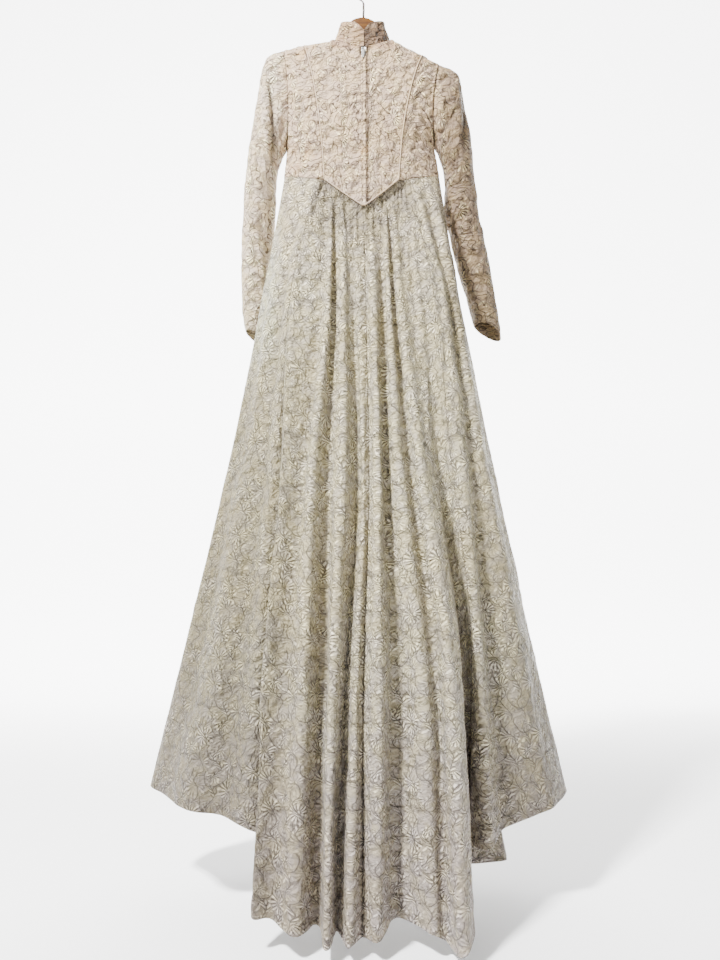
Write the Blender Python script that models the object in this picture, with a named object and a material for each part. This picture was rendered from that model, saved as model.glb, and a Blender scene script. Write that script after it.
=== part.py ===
"""Back-zipped wedding dress with a train, hanging on a wooden hanger.

Metres, +Z up.  The origin is the inside top of the hanger's hook.  The dress faces -Y, so its zip and
its train are on the +Y side, and the wearer's left is +X.  All cloth is a thin wall on a lofted surface.
"""
import math

import bmesh
import bpy
from mathutils import Matrix, Vector

# ---------------------------------------------------------------- driving sizes
CLOTH = 0.0016          # thickness of every cloth wall
SEAM_GAP = 0.0003       # clear gap between neighbouring pieces
CORD_RADIUS = 0.0013    # piping along the princess seams and the pointed waist
CORD_START = 0.026      # rise at which the princess cords begin, above the waist cord
WAIST_CORD_RISE = 0.009

WAIST_Z = -0.452        # empire seam at the side seams
WAIST_SAG = 0.0335      # how far the seam drops towards the middle of the back
POINT_DROP = 0.054      # further drop of the pointed waist at the centre back
WAIST_BACK = 0.052      # depth of the waist ring behind the hanger's plane
WAIST_FRONT = 0.056     # and in front of it
WAIST_LEFT = 0.173
WAIST_RIGHT = 0.165
ROUND = 2.6             # exponent of the flattened ring of the body

CHEST_BACK = 0.060
CHEST_FRONT = 0.072
TOP_BACK = 0.048        # depth of the body at the height of the neck
TOP_FRONT = 0.062
SHOULDER_CAP = 0.055    # height over which the shoulder rolls from front to back
ARMHOLE_HALF = 0.028    # half depth of the armholes

NECK_Z = -0.141         # collar seam at the sides of the neck
NECK_BACK_DROP = 0.034
NECK_FRONT_DROP = 0.044
NECK_LEFT = 0.0645
NECK_RIGHT = 0.058
NECK_BACK = 0.045
NECK_FRONT = 0.052
NECK_ROUND = 2.5        # exponent of the neck's ring
NECK_ROLL = 0.9
NECK_SHARE = 0.25       # place of the neck's side between the centre and the side seam
NECK_FLARE = 0.018      # how far the cloth spreads round the neck
FLARE_TOP = 0.18
FLARE_END = 0.5
COLLAR_SIDE_Z = -0.094  # top edge of the collar at the sides
COLLAR_BACK_Z = -0.113
COLLAR_FRONT_Z = -0.140
COLLAR_NOTCH = 0.016    # how far the top edge dips at the opening
COLLAR_TAPER = 0.80     # top ring as a share of the seam ring

ZIP_HALF_GAP = 0.0035   # the centre backs stop this far from the centre line
LAP_LEFT = 0.0078
LAP_RIGHT = -0.0050
LAP_THICK = 0.0009
TAPE_HALF = 0.0090
TAPE_THICK = 0.0010
TAPE_CLEAR = 0.0007     # the tape lies this far under the cloth
SLIDER_Z = -0.186       # middle of the zip slider, just under the collar
SLIDER_X = 0.0017
SLIDER_LIFT = 0.0008    # the slider body stands this far off the cloth
PIN_RADIUS = 0.0007
PIN_CLEAR = 0.0003
EYE_RADIUS = 0.0016
EYE_WIDTH = 0.0034
TAB_START = 0.0034      # the tab's wide plate begins this far below the pin
TAB_LENGTH = 0.021
TAB_WIDTH = 0.0052
TAB_THICK = 0.0012

HANGER_TOP_Z = -0.075
HANGER_TILT = 0.085     # the wearer's left arm of the hanger stands higher
HOOK_RADIUS = 0.0175    # centre line of the hook's bow
WIRE_RADIUS = 0.0016

# One row for each point of the body's outline on a side:
# width at the waist, width at the underarm, underarm height, shoulder point, princess seam.
SIDES = {
    "left": {"sign": 1, "waist": WAIST_LEFT, "underarm_x": 0.166, "underarm_z": -0.384,
             "shoulder_x": 0.177, "shoulder_z": -0.153, "neck_x": NECK_LEFT,
             "princess_waist": 0.0836, "princess_top": 0.132},
    "right": {"sign": -1, "waist": WAIST_RIGHT, "underarm_x": 0.152, "underarm_z": -0.3745,
              "shoulder_x": 0.1676, "shoulder_z": -0.186, "neck_x": NECK_RIGHT,
              "princess_waist": 0.0740, "princess_top": 0.131},
}

# One row for each section of a sleeve, from the cap to the cuff:
# inner edge x, z; outer edge x, z; middle y; half depth.
SLEEVE_COLUMNS = ("inner_x", "inner_z", "outer_x", "outer_z", "mid_y", "half_depth")
SLEEVES = {
    "left": [
        (0.1715, -0.3890, 0.2127, -0.1700, 0.000, 0.035),
        (0.1755, -0.3950, 0.2256, -0.2097, 0.000, 0.039),
        (0.1795, -0.4020, 0.2337, -0.2685, 0.000, 0.041),
        (0.1855, -0.4160, 0.2480, -0.3515, -0.006, 0.043),
        (0.1940, -0.4520, 0.2620, -0.4520, -0.020, 0.040),
        (0.1980, -0.5300, 0.2675, -0.5300, -0.036, 0.037),
        (0.2060, -0.6090, 0.2730, -0.6090, -0.052, 0.034),
        (0.2120, -0.6980, 0.2740, -0.6980, -0.068, 0.031),
        (0.2100, -0.7720, 0.2650, -0.7640, -0.074, 0.027),
    ],
    "right": [
        (-0.1565, -0.3790, -0.2050, -0.2097, 0.000, 0.035),
        (-0.1600, -0.3850, -0.2160, -0.2400, 0.000, 0.039),
        (-0.1640, -0.3920, -0.2200, -0.2685, 0.000, 0.041),
        (-0.1710, -0.4070, -0.2343, -0.3515, -0.008, 0.043),
        (-0.1826, -0.4520, -0.2480, -0.4520, -0.026, 0.040),
        (-0.1790, -0.5210, -0.2580, -0.5210, -0.040, 0.037),
        (-0.1900, -0.5455, -0.2645, -0.5455, -0.043, 0.036),
        (-0.2006, -0.5970, -0.2745, -0.5970, -0.046, 0.034),
        (-0.2266, -0.6850, -0.2936, -0.6850, -0.050, 0.031),
        (-0.2463, -0.7560, -0.3050, -0.7490, -0.052, 0.027),
    ],
}
CUFF_POINT = {"left": {"length": 0.040, "turn": 150.0}, "right": {"length": 0.046, "turn": 18.0}}

# One row for each fold line of the skirt, ridge or valley, once round from the wearer's left side seam
# over the back and then the front.  x at five levels from the waist to the hem, y half way down and at
# the hem, and the hem's height.
SKIRT_COLUMNS = ("name", "x_waist", "x_hip", "x_thigh", "x_calf", "x_hem", "y_thigh", "y_hem", "z_hem")
SKIRT_LEVELS = (0.0, 0.2, 0.45, 0.7, 1.0)
SKIRT_FOLDS = [
    ("side_left", 0.173, 0.216, 0.275, 0.345, 0.434, 0.000, 0.000, -1.735),
    ("trough_left", 0.158, 0.204, 0.254, 0.314, 0.398, 0.030, 0.044, -1.740),
    ("swell_left", 0.139, 0.189, 0.226, 0.272, 0.332, 0.064, 0.100, -1.748),
    ("dip_left", 0.120, 0.172, 0.198, 0.232, 0.272, 0.086, 0.110, -1.755),
    ("inner_left", 0.104, 0.157, 0.176, 0.196, 0.214, 0.118, 0.150, -1.765),
    ("tuck_left", 0.097, 0.150, 0.162, 0.166, 0.152, 0.118, 0.130, -1.800),
    ("edge_left", 0.0836, 0.143, 0.157, 0.180, 0.190, 0.148, 0.246, -1.872),
    ("valley_1", 0.076, 0.090, 0.121, 0.143, 0.162, 0.138, 0.242, -1.876),
    ("ridge_1", 0.067, 0.073, 0.100, 0.108, 0.117, 0.160, 0.268, -1.890),
    ("valley_2", 0.059, 0.062, 0.070, 0.076, 0.083, 0.136, 0.228, -1.893),
    ("ridge_2", 0.048, 0.042, 0.043, 0.057, 0.063, 0.168, 0.286, -1.902),
    ("valley_3", 0.033, 0.020, 0.013, 0.034, 0.047, 0.134, 0.232, -1.900),
    ("ridge_3", 0.018, 0.009, 0.002, 0.015, 0.027, 0.156, 0.281, -1.902),
    ("centre_back", 0.000, -0.005, -0.009, 0.002, 0.004, 0.148, 0.250, -1.900),
    ("ridge_4", -0.013, -0.020, -0.025, -0.024, -0.020, 0.172, 0.272, -1.897),
    ("valley_4", -0.034, -0.040, -0.043, -0.055, -0.055, 0.140, 0.222, -1.885),
    ("ridge_5", -0.044, -0.051, -0.068, -0.101, -0.113, 0.164, 0.262, -1.890),
    ("valley_5", -0.052, -0.062, -0.092, -0.128, -0.133, 0.146, 0.258, -1.902),
    ("ridge_6", -0.060, -0.075, -0.112, -0.150, -0.157, 0.166, 0.300, -1.905),
    ("edge_right", -0.074, -0.096, -0.134, -0.173, -0.181, 0.142, 0.266, -1.885),
    ("tuck_right", -0.081, -0.113, -0.145, -0.180, -0.171, 0.106, 0.078, -1.866),
    ("flap_right", -0.087, -0.124, -0.152, -0.188, -0.268, 0.104, 0.080, -1.850),
    ("flap_right_2", -0.091, -0.134, -0.160, -0.194, -0.267, 0.109, 0.093, -1.840),
    ("tuck_right_2", -0.096, -0.144, -0.170, -0.202, -0.194, 0.116, 0.124, -1.806),
    ("ridge_7", -0.106, -0.162, -0.190, -0.212, -0.222, 0.114, 0.166, -1.792),
    ("valley_7", -0.123, -0.178, -0.215, -0.238, -0.264, 0.088, 0.122, -1.775),
    ("ridge_8", -0.140, -0.189, -0.236, -0.288, -0.354, 0.074, 0.088, -1.750),
    ("rim_right", -0.155, -0.198, -0.252, -0.311, -0.390, 0.036, 0.046, -1.745),
    ("side_right", -0.165, -0.204, -0.264, -0.326, -0.410, 0.000, 0.000, -1.742),
    ("front_1", -0.152, -0.195, -0.248, -0.306, -0.383, -0.045, -0.068, -1.735),
    ("front_2", -0.127, -0.165, -0.204, -0.250, -0.315, -0.076, -0.095, -1.730),
    ("front_3", -0.095, -0.125, -0.155, -0.187, -0.236, -0.114, -0.165, -1.728),
    ("front_4", -0.062, -0.084, -0.100, -0.118, -0.150, -0.104, -0.130, -1.725),
    ("front_5", -0.030, -0.042, -0.050, -0.058, -0.073, -0.124, -0.178, -1.727),
    ("front_6", 0.004, 0.004, 0.005, 0.006, 0.008, -0.114, -0.146, -1.725),
    ("front_7", 0.038, 0.050, 0.060, 0.072, 0.090, -0.125, -0.182, -1.727),
    ("front_8", 0.070, 0.092, 0.112, 0.134, 0.168, -0.102, -0.128, -1.725),
    ("front_9", 0.102, 0.134, 0.166, 0.202, 0.252, -0.112, -0.160, -1.728),
    ("front_10", 0.134, 0.172, 0.216, 0.266, 0.334, -0.072, -0.092, -1.730),
    ("front_11", 0.160, 0.204, 0.258, 0.322, 0.404, -0.042, -0.064, -1.733),
]
SKIRT_PANELS = [
    ("skirt_side_left", "side_left", "tuck_left"),
    ("train_left", "tuck_left", "centre_back"),
    ("train_right", "centre_back", "tuck_right_2"),
    ("skirt_side_right", "tuck_right_2", "side_right"),
    ("skirt_front", "side_right", "side_left"),
]
SKIRT_ROWS = 14
SKIRT_STEP = 0.045      # longest cloth edge between two samples at the hem
SHORT_FOLD = 0.020      # a fold shorter than this takes no sample between its lines
BACK_FOLDS = 28         # fold lines 0 to this one are on the back of the skirt
GATHER_DROP = 0.03      # share of the skirt's length over which the folds grow out of the seam

COLOURS = {
    "bodice": (0.70, 0.63, 0.54), "skirt": (0.66, 0.62, 0.55), "train": (0.60, 0.57, 0.51),
    "collar": (0.70, 0.63, 0.54), "sleeve": (0.70, 0.64, 0.56), "cord": (0.72, 0.65, 0.55),
    "tape": (0.62, 0.60, 0.57), "zip": (0.86, 0.86, 0.85), "wood": (0.45, 0.20, 0.06),
    "wire": (0.10, 0.09, 0.08),
}


# ---------------------------------------------------------------- scene helpers
def clear_scene():
    for item in list(bpy.data.objects):
        bpy.data.objects.remove(item, do_unlink=True)


def make_collection(name):
    collection = bpy.data.collections.new(name)
    bpy.context.scene.collection.children.link(collection)
    return collection


def make_material(name, colour, roughness, metallic):
    material = bpy.data.materials.new(name)
    material.use_nodes = True
    shader = material.node_tree.nodes["Principled BSDF"]
    shader.inputs["Base Color"].default_value = (*colour, 1.0)
    shader.inputs["Roughness"].default_value = roughness
    shader.inputs["Metallic"].default_value = metallic
    return material


def make_object(name, mesh, collection, material):
    item = bpy.data.objects.new(name, mesh)
    item.data.materials.append(material)
    collection.objects.link(item)
    return item


def finish_mesh(name, mesh_data):
    """Turn a bmesh into a mesh whose faces point out and are shaded smooth."""
    bmesh.ops.recalc_face_normals(mesh_data, faces=mesh_data.faces)
    mesh = bpy.data.meshes.new(name)
    mesh_data.to_mesh(mesh)
    mesh_data.free()
    mesh.shade_smooth()
    mesh.set_sharp_from_angle(angle=math.radians(50))
    return mesh


# ---------------------------------------------------------------- small mathematics
def mix(a, b, share):
    return a + (b - a) * share


def smooth(share):
    share = min(max(share, 0.0), 1.0)
    return share * share * (3 - 2 * share)


def hermite(levels, values, level):
    """Smooth value through a short column of values at rising levels."""
    last = len(levels) - 1
    index = 0
    while index < last - 1 and level > levels[index + 1]:
        index += 1
    before, after = max(index - 1, 0), min(index + 2, last)
    step = levels[index + 1] - levels[index]
    share = (level - levels[index]) / step
    slope_a = (values[index + 1] - values[before]) / (levels[index + 1] - levels[before])
    slope_b = (values[after] - values[index]) / (levels[after] - levels[index])
    s2, s3 = share * share, share ** 3
    return ((2 * s3 - 3 * s2 + 1) * values[index] + (s3 - 2 * s2 + share) * step * slope_a
            + (3 * s2 - 2 * s3) * values[index + 1] + (s3 - s2) * step * slope_b)


def spline(p0, p1, p2, p3, share):
    """Centripetal curve between p1 and p2, which never loops at a tight fold."""
    k1 = max((p1 - p0).length ** 0.5, 1e-4)
    k2 = k1 + max((p2 - p1).length ** 0.5, 1e-4)
    k3 = k2 + max((p3 - p2).length ** 0.5, 1e-4)
    k = mix(k1, k2, share)
    a1 = p0 * ((k1 - k) / k1) + p1 * (k / k1)
    a2 = p1 * ((k2 - k) / (k2 - k1)) + p2 * ((k - k1) / (k2 - k1))
    a3 = p2 * ((k3 - k) / (k3 - k2)) + p3 * ((k - k2) / (k3 - k2))
    b1 = a1 * ((k2 - k) / k2) + a2 * (k / k2)
    b2 = a2 * ((k3 - k) / (k3 - k1)) + a3 * ((k - k1) / (k3 - k1))
    return b1 * ((k2 - k) / (k2 - k1)) + b2 * ((k - k1) / (k2 - k1))


def surface_normal(surface, u, v, du, dv, flip):
    across = surface(u + du, v) - surface(u - du, v)
    along = surface(u, v + dv) - surface(u, v - dv)
    return across.cross(along).normalized() * flip


# ---------------------------------------------------------------- cloth walls
def wall_mesh(name, rows, normals, thickness, lift=0.0, closed=False):
    """A wall of cloth: outer and inner skins on a grid of points, joined round their edges."""
    mesh_data = bmesh.new()
    outer, inner = [], []
    for row, normal_row in zip(rows, normals):
        outer.append([mesh_data.verts.new(p + n * (lift + thickness / 2)) for p, n in zip(row, normal_row)])
        inner.append([mesh_data.verts.new(p + n * (lift - thickness / 2)) for p, n in zip(row, normal_row)])
    count = len(rows[0])
    spans = count if closed else count - 1
    for j in range(len(rows) - 1):
        for i in range(spans):
            k = (i + 1) % count
            mesh_data.faces.new((outer[j][i], outer[j][k], outer[j + 1][k], outer[j + 1][i]))
            mesh_data.faces.new((inner[j][i], inner[j + 1][i], inner[j + 1][k], inner[j][k]))
    for i in range(spans):
        k = (i + 1) % count
        mesh_data.faces.new((outer[0][i], inner[0][i], inner[0][k], outer[0][k]))
        mesh_data.faces.new((outer[-1][i], outer[-1][k], inner[-1][k], inner[-1][i]))
    if not closed:
        for j in range(len(rows) - 1):
            mesh_data.faces.new((outer[j][0], outer[j + 1][0], inner[j + 1][0], inner[j][0]))
            mesh_data.faces.new((outer[j][-1], inner[j][-1], inner[j + 1][-1], outer[j + 1][-1]))
    bmesh.ops.triangulate(mesh_data, faces=mesh_data.faces)
    return finish_mesh(name, mesh_data)


def tube_mesh(name, centres, sideways, radius, sides):
    """A cord through a row of centres; sideways holds the two unit vectors of each section."""
    mesh_data = bmesh.new()
    rings = []
    for centre, (across, out) in zip(centres, sideways):
        ring = []
        for i in range(sides):
            turn = 2 * math.pi * i / sides
            ring.append(mesh_data.verts.new(centre + (across * math.cos(turn) + out * math.sin(turn)) * radius))
        rings.append(ring)
    for j in range(len(rings) - 1):
        for i in range(sides):
            k = (i + 1) % sides
            mesh_data.faces.new((rings[j][i], rings[j][k], rings[j + 1][k], rings[j + 1][i]))
    mesh_data.faces.new(rings[0])
    mesh_data.faces.new(rings[-1])
    bmesh.ops.triangulate(mesh_data, faces=mesh_data.faces)
    return finish_mesh(name, mesh_data)


# ---------------------------------------------------------------- the waist ring
def ring_depth(x, half_width, depth):
    share = min(abs(x) / half_width, 1.0)
    return depth * (1 - share ** ROUND) ** 0.5


def side_of(x):
    return SIDES["left"] if x >= 0 else SIDES["right"]


def waist_full(face):
    return WAIST_BACK if face > 0 else WAIST_FRONT


def waist_depth(x, face):
    return face * ring_depth(x, side_of(x)["waist"], waist_full(face))


def waist_normal(x, face):
    """Level outward direction of the waist ring."""
    half_width = side_of(x)["waist"]
    share = min(abs(x) / half_width, 1.0)
    lean = ROUND * share ** (ROUND - 1) / half_width
    return Vector((math.copysign(lean, x), 2 * waist_depth(x, face) / waist_full(face) ** 2, 0)).normalized()


def waist_height(x, face):
    """Height of the empire seam: nearly level in front, sagging behind and pointed at the centre back."""
    side = side_of(x)
    sag = WAIST_SAG * (1 - min(abs(x) / side["waist"], 1.0) ** 2)
    if face < 0:
        return WAIST_Z - 0.3 * sag
    return WAIST_Z - sag - POINT_DROP * max(1 - abs(x) / side["princess_waist"], 0.0)


# ---------------------------------------------------------------- bodice

def neck_ring(x, face):
    """Depth and height of the collar seam at x."""
    side = side_of(x)
    share = min(abs(x) / side["neck_x"], 1.0)
    bow = (1 - share ** NECK_ROUND) ** (1 / NECK_ROUND)
    depth = NECK_BACK if face > 0 else NECK_FRONT
    drop = NECK_BACK_DROP if face > 0 else NECK_FRONT_DROP
    # the seam rolls over the shoulder before it drops
    fall = (1 - (1 - (NECK_ROLL * bow) ** 2) ** 0.5) / (1 - (1 - NECK_ROLL ** 2) ** 0.5)
    return face * depth * bow, NECK_Z - drop * fall


def edge_path(side, rise):
    """Side seam and armhole edge: x and half depth at a share of the way from waist to shoulder."""
    z = mix(WAIST_Z, side["shoulder_z"], rise)
    if z <= side["underarm_z"]:
        share = (z - WAIST_Z) / (side["underarm_z"] - WAIST_Z)
        return mix(side["waist"], side["underarm_x"], share), 0.0, z
    share = (z - side["underarm_z"]) / (side["shoulder_z"] - side["underarm_z"])
    x = mix(side["underarm_x"], side["shoulder_x"], share ** 1.6) - 0.005 * math.sin(math.pi * share)
    return x, ARMHOLE_HALF * max(1 - (2 * share - 1) ** 2, 0.0) ** 0.5, z


def bodice_point(a, rise, face):
    """Point of the bodice: a runs from -1 at the right edge to 1 at the left, rise from waist to top."""
    side = side_of(a)
    share = abs(a)
    rise = min(max(rise, 0.0), 1.0)
    edge_x, edge_y, edge_z = edge_path(side, rise)
    low_mid = side["princess_waist"] / side["waist"]
    high_mid = side["princess_top"] / side["shoulder_x"]
    high_neck = side["neck_x"] / side["shoulder_x"]
    if share <= 0.5:
        low = low_mid * share / 0.5
        if share <= NECK_SHARE:
            high = high_neck * math.sin(math.pi / 2 * share / NECK_SHARE)
        else:
            high = mix(high_neck, high_mid, (share - NECK_SHARE) / (0.5 - NECK_SHARE))
    else:
        low = mix(low_mid, 1.0, math.sin(math.pi * (share - 0.5)))
        high = mix(high_mid, 1.0, (share - 0.5) / 0.5)
    climb = rise ** 1.15
    x = edge_x * mix(low, high, climb)
    top_x = side["shoulder_x"] * high
    # the cloth spreads out from the neck before it falls
    spread = (1 - (1 - min((1 - rise) / FLARE_TOP, 1.0)) ** 2) ** 0.5 * (1 - smooth((1 - rise) / FLARE_END))
    if share <= NECK_SHARE:
        x += NECK_FLARE * spread * high / high_neck
    else:
        x += NECK_FLARE * spread * max(1 - (share - NECK_SHARE) / NECK_SHARE, 0.0)
    if share <= NECK_SHARE:
        top_y, top_z = neck_ring(side["sign"] * top_x, face)
    else:
        top_y = 0.0
        top_z = mix(NECK_Z, side["shoulder_z"], (high - high_neck) / (1 - high_neck))
    bottom_z = waist_height(side["sign"] * side["waist"] * low, face)
    z = mix(bottom_z, top_z, rise)
    if share > 0.9999:
        z = edge_z
    taper = (z - WAIST_Z) / (side["underarm_z"] - WAIST_Z)
    width = mix(side["waist"], side["underarm_x"], min(max(taper, 0.0), 1.0))
    width += 0.030 * smooth((z - side["underarm_z"]) / 0.05)
    level = (z - WAIST_Z) / (NECK_Z - WAIST_Z)
    chest_part = CHEST_BACK if face > 0 else CHEST_FRONT
    if level < 0.3:
        full = mix(waist_full(face), chest_part, smooth(level / 0.3))
    else:
        full = mix(chest_part, TOP_BACK if face > 0 else TOP_FRONT, smooth((level - 0.3) / 0.7))
    depth = ring_depth(x, width, full)
    depth += (edge_y - ring_depth(edge_x, width, full)) * (x / edge_x) ** 6
    below = min((top_z - z) / SHOULDER_CAP, 1.0)
    cap = max(1 - (1 - below) ** 2, 0.0) ** 0.5
    y = mix(top_y, face * depth, cap)
    return Vector((side["sign"] * x, y, z))


def bodice_normal(face, a, rise):
    """Outward direction, level with the rim at the shoulder, the side seam and the waist."""
    if rise < 0.001:
        return waist_normal(bodice_point(a, 0.0, face).x, face)
    low, high = max(rise - 0.004, 0.0), min(rise + 0.004, 1.0)
    left, right = min(a + 0.004, 1.0), max(a - 0.004, -1.0)
    if a * left < 0 or a * right < 0:
        left, right = max(left, 0.004), min(right, -0.004)
    across = bodice_point(left, rise, face) - bodice_point(right, rise, face)
    up = bodice_point(a, high, face) - bodice_point(a, low, face)
    if across.length < 1e-7:
        across = Vector((1, 0, 0))
    normal = up.cross(across).normalized() * face
    point = bodice_point(a, rise, face)
    side = side_of(a)
    if abs(a) > 0.999 and point.z < side["underarm_z"] + 0.003:
        return Vector((side["sign"], 0, 0))
    if rise > 0.999 and abs(a) > NECK_SHARE:
        return Vector((normal.x, 0, normal.z)).normalized()
    return normal


def bodice_panel(face, places, inset_start, inset_end):
    """Grid of one panel; insets are the clear distances at its two upright edges."""
    rows, normals = [], []
    for rise in BODICE_RISES:
        row = [bodice_point(a, rise, face) for a in places]
        normal_row = [bodice_normal(face, a, rise) for a in places]
        for edge, beside, inset in ((0, 1, inset_start), (-1, -2, inset_end)):
            near = mix(places[edge], places[beside], 0.1)
            inward = bodice_point(near, rise, face) - row[edge]
            inward -= normal_row[edge] * inward.dot(normal_row[edge])
            row[edge] = row[edge] + inward.normalized() * inset
        rows.append(row)
        normals.append(normal_row)
    return rows, normals


# Places of the bodice's rows and of its upright columns, from the middle to the princess seam and on
# to the side seam; the first seven columns meet the collar's.
BODICE_RISES = (0.0, 0.06, 0.125, 0.19, 0.227, 0.26, 0.29, 0.33, 0.40, 0.50, 0.60, 0.70, 0.80, 0.88, 0.94,
                0.98, 1.0)
NECK_STEPS = 6
CENTRE_PLACES = [NECK_SHARE * k / NECK_STEPS for k in range(NECK_STEPS + 1)] + [0.375, 0.5]
SIDE_PLACES = [0.5, 0.6, 0.7, 0.8, 0.9, 0.96, 1.0]
SEAM_REST = 0.0003      # the bodice and the skirt each stop this far from the waist seam


def make_bodice(collection, materials):
    half = SEAM_GAP / 2
    centre_left, side_left = CENTRE_PLACES[::-1], SIDE_PLACES[::-1]
    centre_right, side_right = [-a for a in CENTRE_PLACES], [-a for a in SIDE_PLACES]
    whole = side_right[::-1] + centre_right[-2:0:-1] + CENTRE_PLACES + SIDE_PLACES[1:]
    panels = [
        ("side_back_left", 1, side_left, half, half),
        ("centre_back_left", 1, centre_left, half, ZIP_HALF_GAP),
        ("centre_back_right", 1, centre_right, ZIP_HALF_GAP, half),
        ("side_back_right", 1, side_right, half, half),
        ("bodice_front", -1, whole, half, half),
    ]
    for name, face, places, inset_start, inset_end in panels:
        rows, normals = bodice_panel(face, places, inset_start, inset_end)
        # the shoulder and neck edges stop half a gap short of their seams
        for p, q in zip(rows[-1], rows[-2]):
            p += (q - p).normalized() * half
        for p in rows[0]:
            p.z += SEAM_REST
        mesh = wall_mesh(name, rows, normals, CLOTH)
        make_object(name, mesh, collection, materials["bodice"])


# ---------------------------------------------------------------- sleeves
ARM_STEPS = 18          # samples round a sleeve
SLEEVE_ROWS = 18
UNDERARM_CLEAR = 0.0024


def armhole_point(side, turn):
    """Armhole edge: turn 0 is the underarm, half a turn the shoulder; the back edge comes first."""
    share = (1 - math.cos(turn)) / 2
    low = (side["underarm_z"] - WAIST_Z) / (side["shoulder_z"] - WAIST_Z)
    face = 1 if math.sin(turn) >= 0 else -1
    rise = mix(low, 1.0, share)
    point = bodice_point(side["sign"], rise, face)
    normal = bodice_normal(face, side["sign"], rise)
    # the sleeve stands just clear of the bodice's rim, a little more at the underarm
    clear = SEAM_GAP + CLOTH / 2 * abs(normal.x) + UNDERARM_CLEAR * (1 - smooth(share / 0.25))
    point.x += side["sign"] * clear
    return point


def section_point(row, turn):
    """Oval section of a sleeve from its table row; turn 0 is the inner edge."""
    section = dict(zip(SLEEVE_COLUMNS, row))
    share = (1 - math.cos(turn)) / 2
    return Vector((mix(section["inner_x"], section["outer_x"], share),
                   section["mid_y"] + section["half_depth"] * math.sin(turn),
                   mix(section["inner_z"], section["outer_z"], share)))


def sleeve_point(name, turn, level):
    """Surface of a sleeve; level runs over the table's rows, 0 being the armhole."""
    side, rows = SIDES[name], SLEEVES[name]
    ring = [armhole_point(side, turn)] + [section_point(row, turn) for row in rows]
    point = Vector([hermite(range(len(ring)), [p[k] for p in ring], level) for k in range(3)])
    # the pointed cuff: the last section drops towards one side
    cuff = CUFF_POINT[name]
    reach = smooth((level - (len(rows) - 2)) / 2)
    aim = (1 + math.cos(turn - math.radians(cuff["turn"]) - math.pi)) / 2
    point.z -= cuff["length"] * reach * (0.15 + 0.85 * aim ** 1.5)
    return point


def make_sleeve(name, collection, materials):
    last = len(SLEEVES[name])

    def surface(turn, level):
        return sleeve_point(name, turn, min(max(level, 0.0), last))

    rows, normals = [], []
    for j in range(SLEEVE_ROWS + 1):
        level = last * (j / SLEEVE_ROWS) ** 0.93
        turns = [2 * math.pi * i / ARM_STEPS for i in range(ARM_STEPS)]
        row = [surface(turn, level) for turn in turns]
        middle = sum(row, Vector()) / len(row)
        normal_row = []
        for turn, point in zip(turns, row):
            normal = surface_normal(surface, turn, level, 0.02, 0.02, 1)
            normal_row.append(normal if normal.dot(point - middle) > 0 else -normal)
        if j == 0:
            # the seam's rim lies in the armhole's plane
            normal_row = [Vector((0, n.y, n.z)).normalized() for n in normal_row]
        rows.append(row)
        normals.append(normal_row)
    mesh = wall_mesh("sleeve_" + name, rows, normals, CLOTH, closed=True)
    make_object("sleeve_" + name, mesh, collection, materials["sleeve"])


# ---------------------------------------------------------------- collar
COLLAR_LEVELS = 4
LAP_TURN = 15           # degrees by which the right end runs on under the left one
OVER_TURN = 1.0


def neck_seam(turn):
    """Point of the collar seam: turn 90 degrees is the centre back, 270 the centre front."""
    x = side_of(math.cos(turn))["neck_x"] * math.cos(turn)
    y, z = neck_ring(x, 1 if math.sin(turn) >= 0 else -1)
    return Vector((x, y, z))


def collar_point(turn, rise):
    """Stand collar on the neck's seam."""
    side = side_of(math.cos(turn))
    reach = abs(math.cos(turn))
    face = 1 if math.sin(turn) >= 0 else -1
    base_y, base_z = neck_ring(side["sign"] * side["neck_x"] * reach, face)
    # the band stands just clear of the bodice's rim, also where the seam slopes
    place = side["sign"] * NECK_SHARE * math.asin(min(reach, 1.0)) / (math.pi / 2)
    slope = (neck_seam(turn + 0.05) - neck_seam(turn - 0.05)).normalized().z
    level = 1 - slope * slope
    base_z += SEAM_GAP / level ** 0.5 + CLOTH / 2 * abs(bodice_normal(face, place, 1.0).z) / level
    top_z = COLLAR_SIDE_Z + ((COLLAR_BACK_Z if face > 0 else COLLAR_FRONT_Z) - COLLAR_SIDE_Z) * abs(
        math.sin(turn)) ** 1.5
    opening = abs(math.degrees(turn) - 90)
    opening = min(opening, 360 - opening)
    top_z -= COLLAR_NOTCH * max(1 - opening / 24, 0) ** 1.5
    taper = mix(1.0, COLLAR_TAPER, smooth(rise) * 0.35 + rise * 0.65)
    x = side["sign"] * side["neck_x"] * reach * taper
    y = base_y * taper
    return Vector((x, y, mix(base_z, top_z, rise)))


def make_collar(collection, materials):
    """One band from the centre back round to the centre back; its left end laps over the right."""
    step = 90 / NECK_STEPS
    turns = [90 - LAP_TURN + step * k for k in range(round((360 + LAP_TURN) / step) + 1)]
    turns[-1] += OVER_TURN
    rows, normals = [], []
    for j in range(COLLAR_LEVELS + 1):
        rise = j / COLLAR_LEVELS
        row, normal_row = [], []
        for degrees in turns:
            turn = math.radians(degrees)
            point = collar_point(turn, rise)
            across = collar_point(turn + 0.02, rise) - collar_point(turn - 0.02, rise)
            up = collar_point(turn, rise + 0.05) - collar_point(turn, rise - 0.05)
            normal = across.cross(up).normalized()
            # the underlapping end lies inside the overlapping one
            under = smooth((90 + step - degrees) / step)
            point -= normal * (CLOTH + 2 * SEAM_GAP) * under
            if j == 0:
                normal = Vector((normal.x, normal.y, 0)).normalized()
            row.append(point)
            normal_row.append(normal)
        rows.append(row)
        normals.append(normal_row)
    mesh = wall_mesh("collar_band", rows, normals, CLOTH)
    make_object("collar_band", mesh, collection, materials["collar"])


# ---------------------------------------------------------------- skirt
FOLD_NAMES = [row[0] for row in SKIRT_FOLDS]


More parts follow.
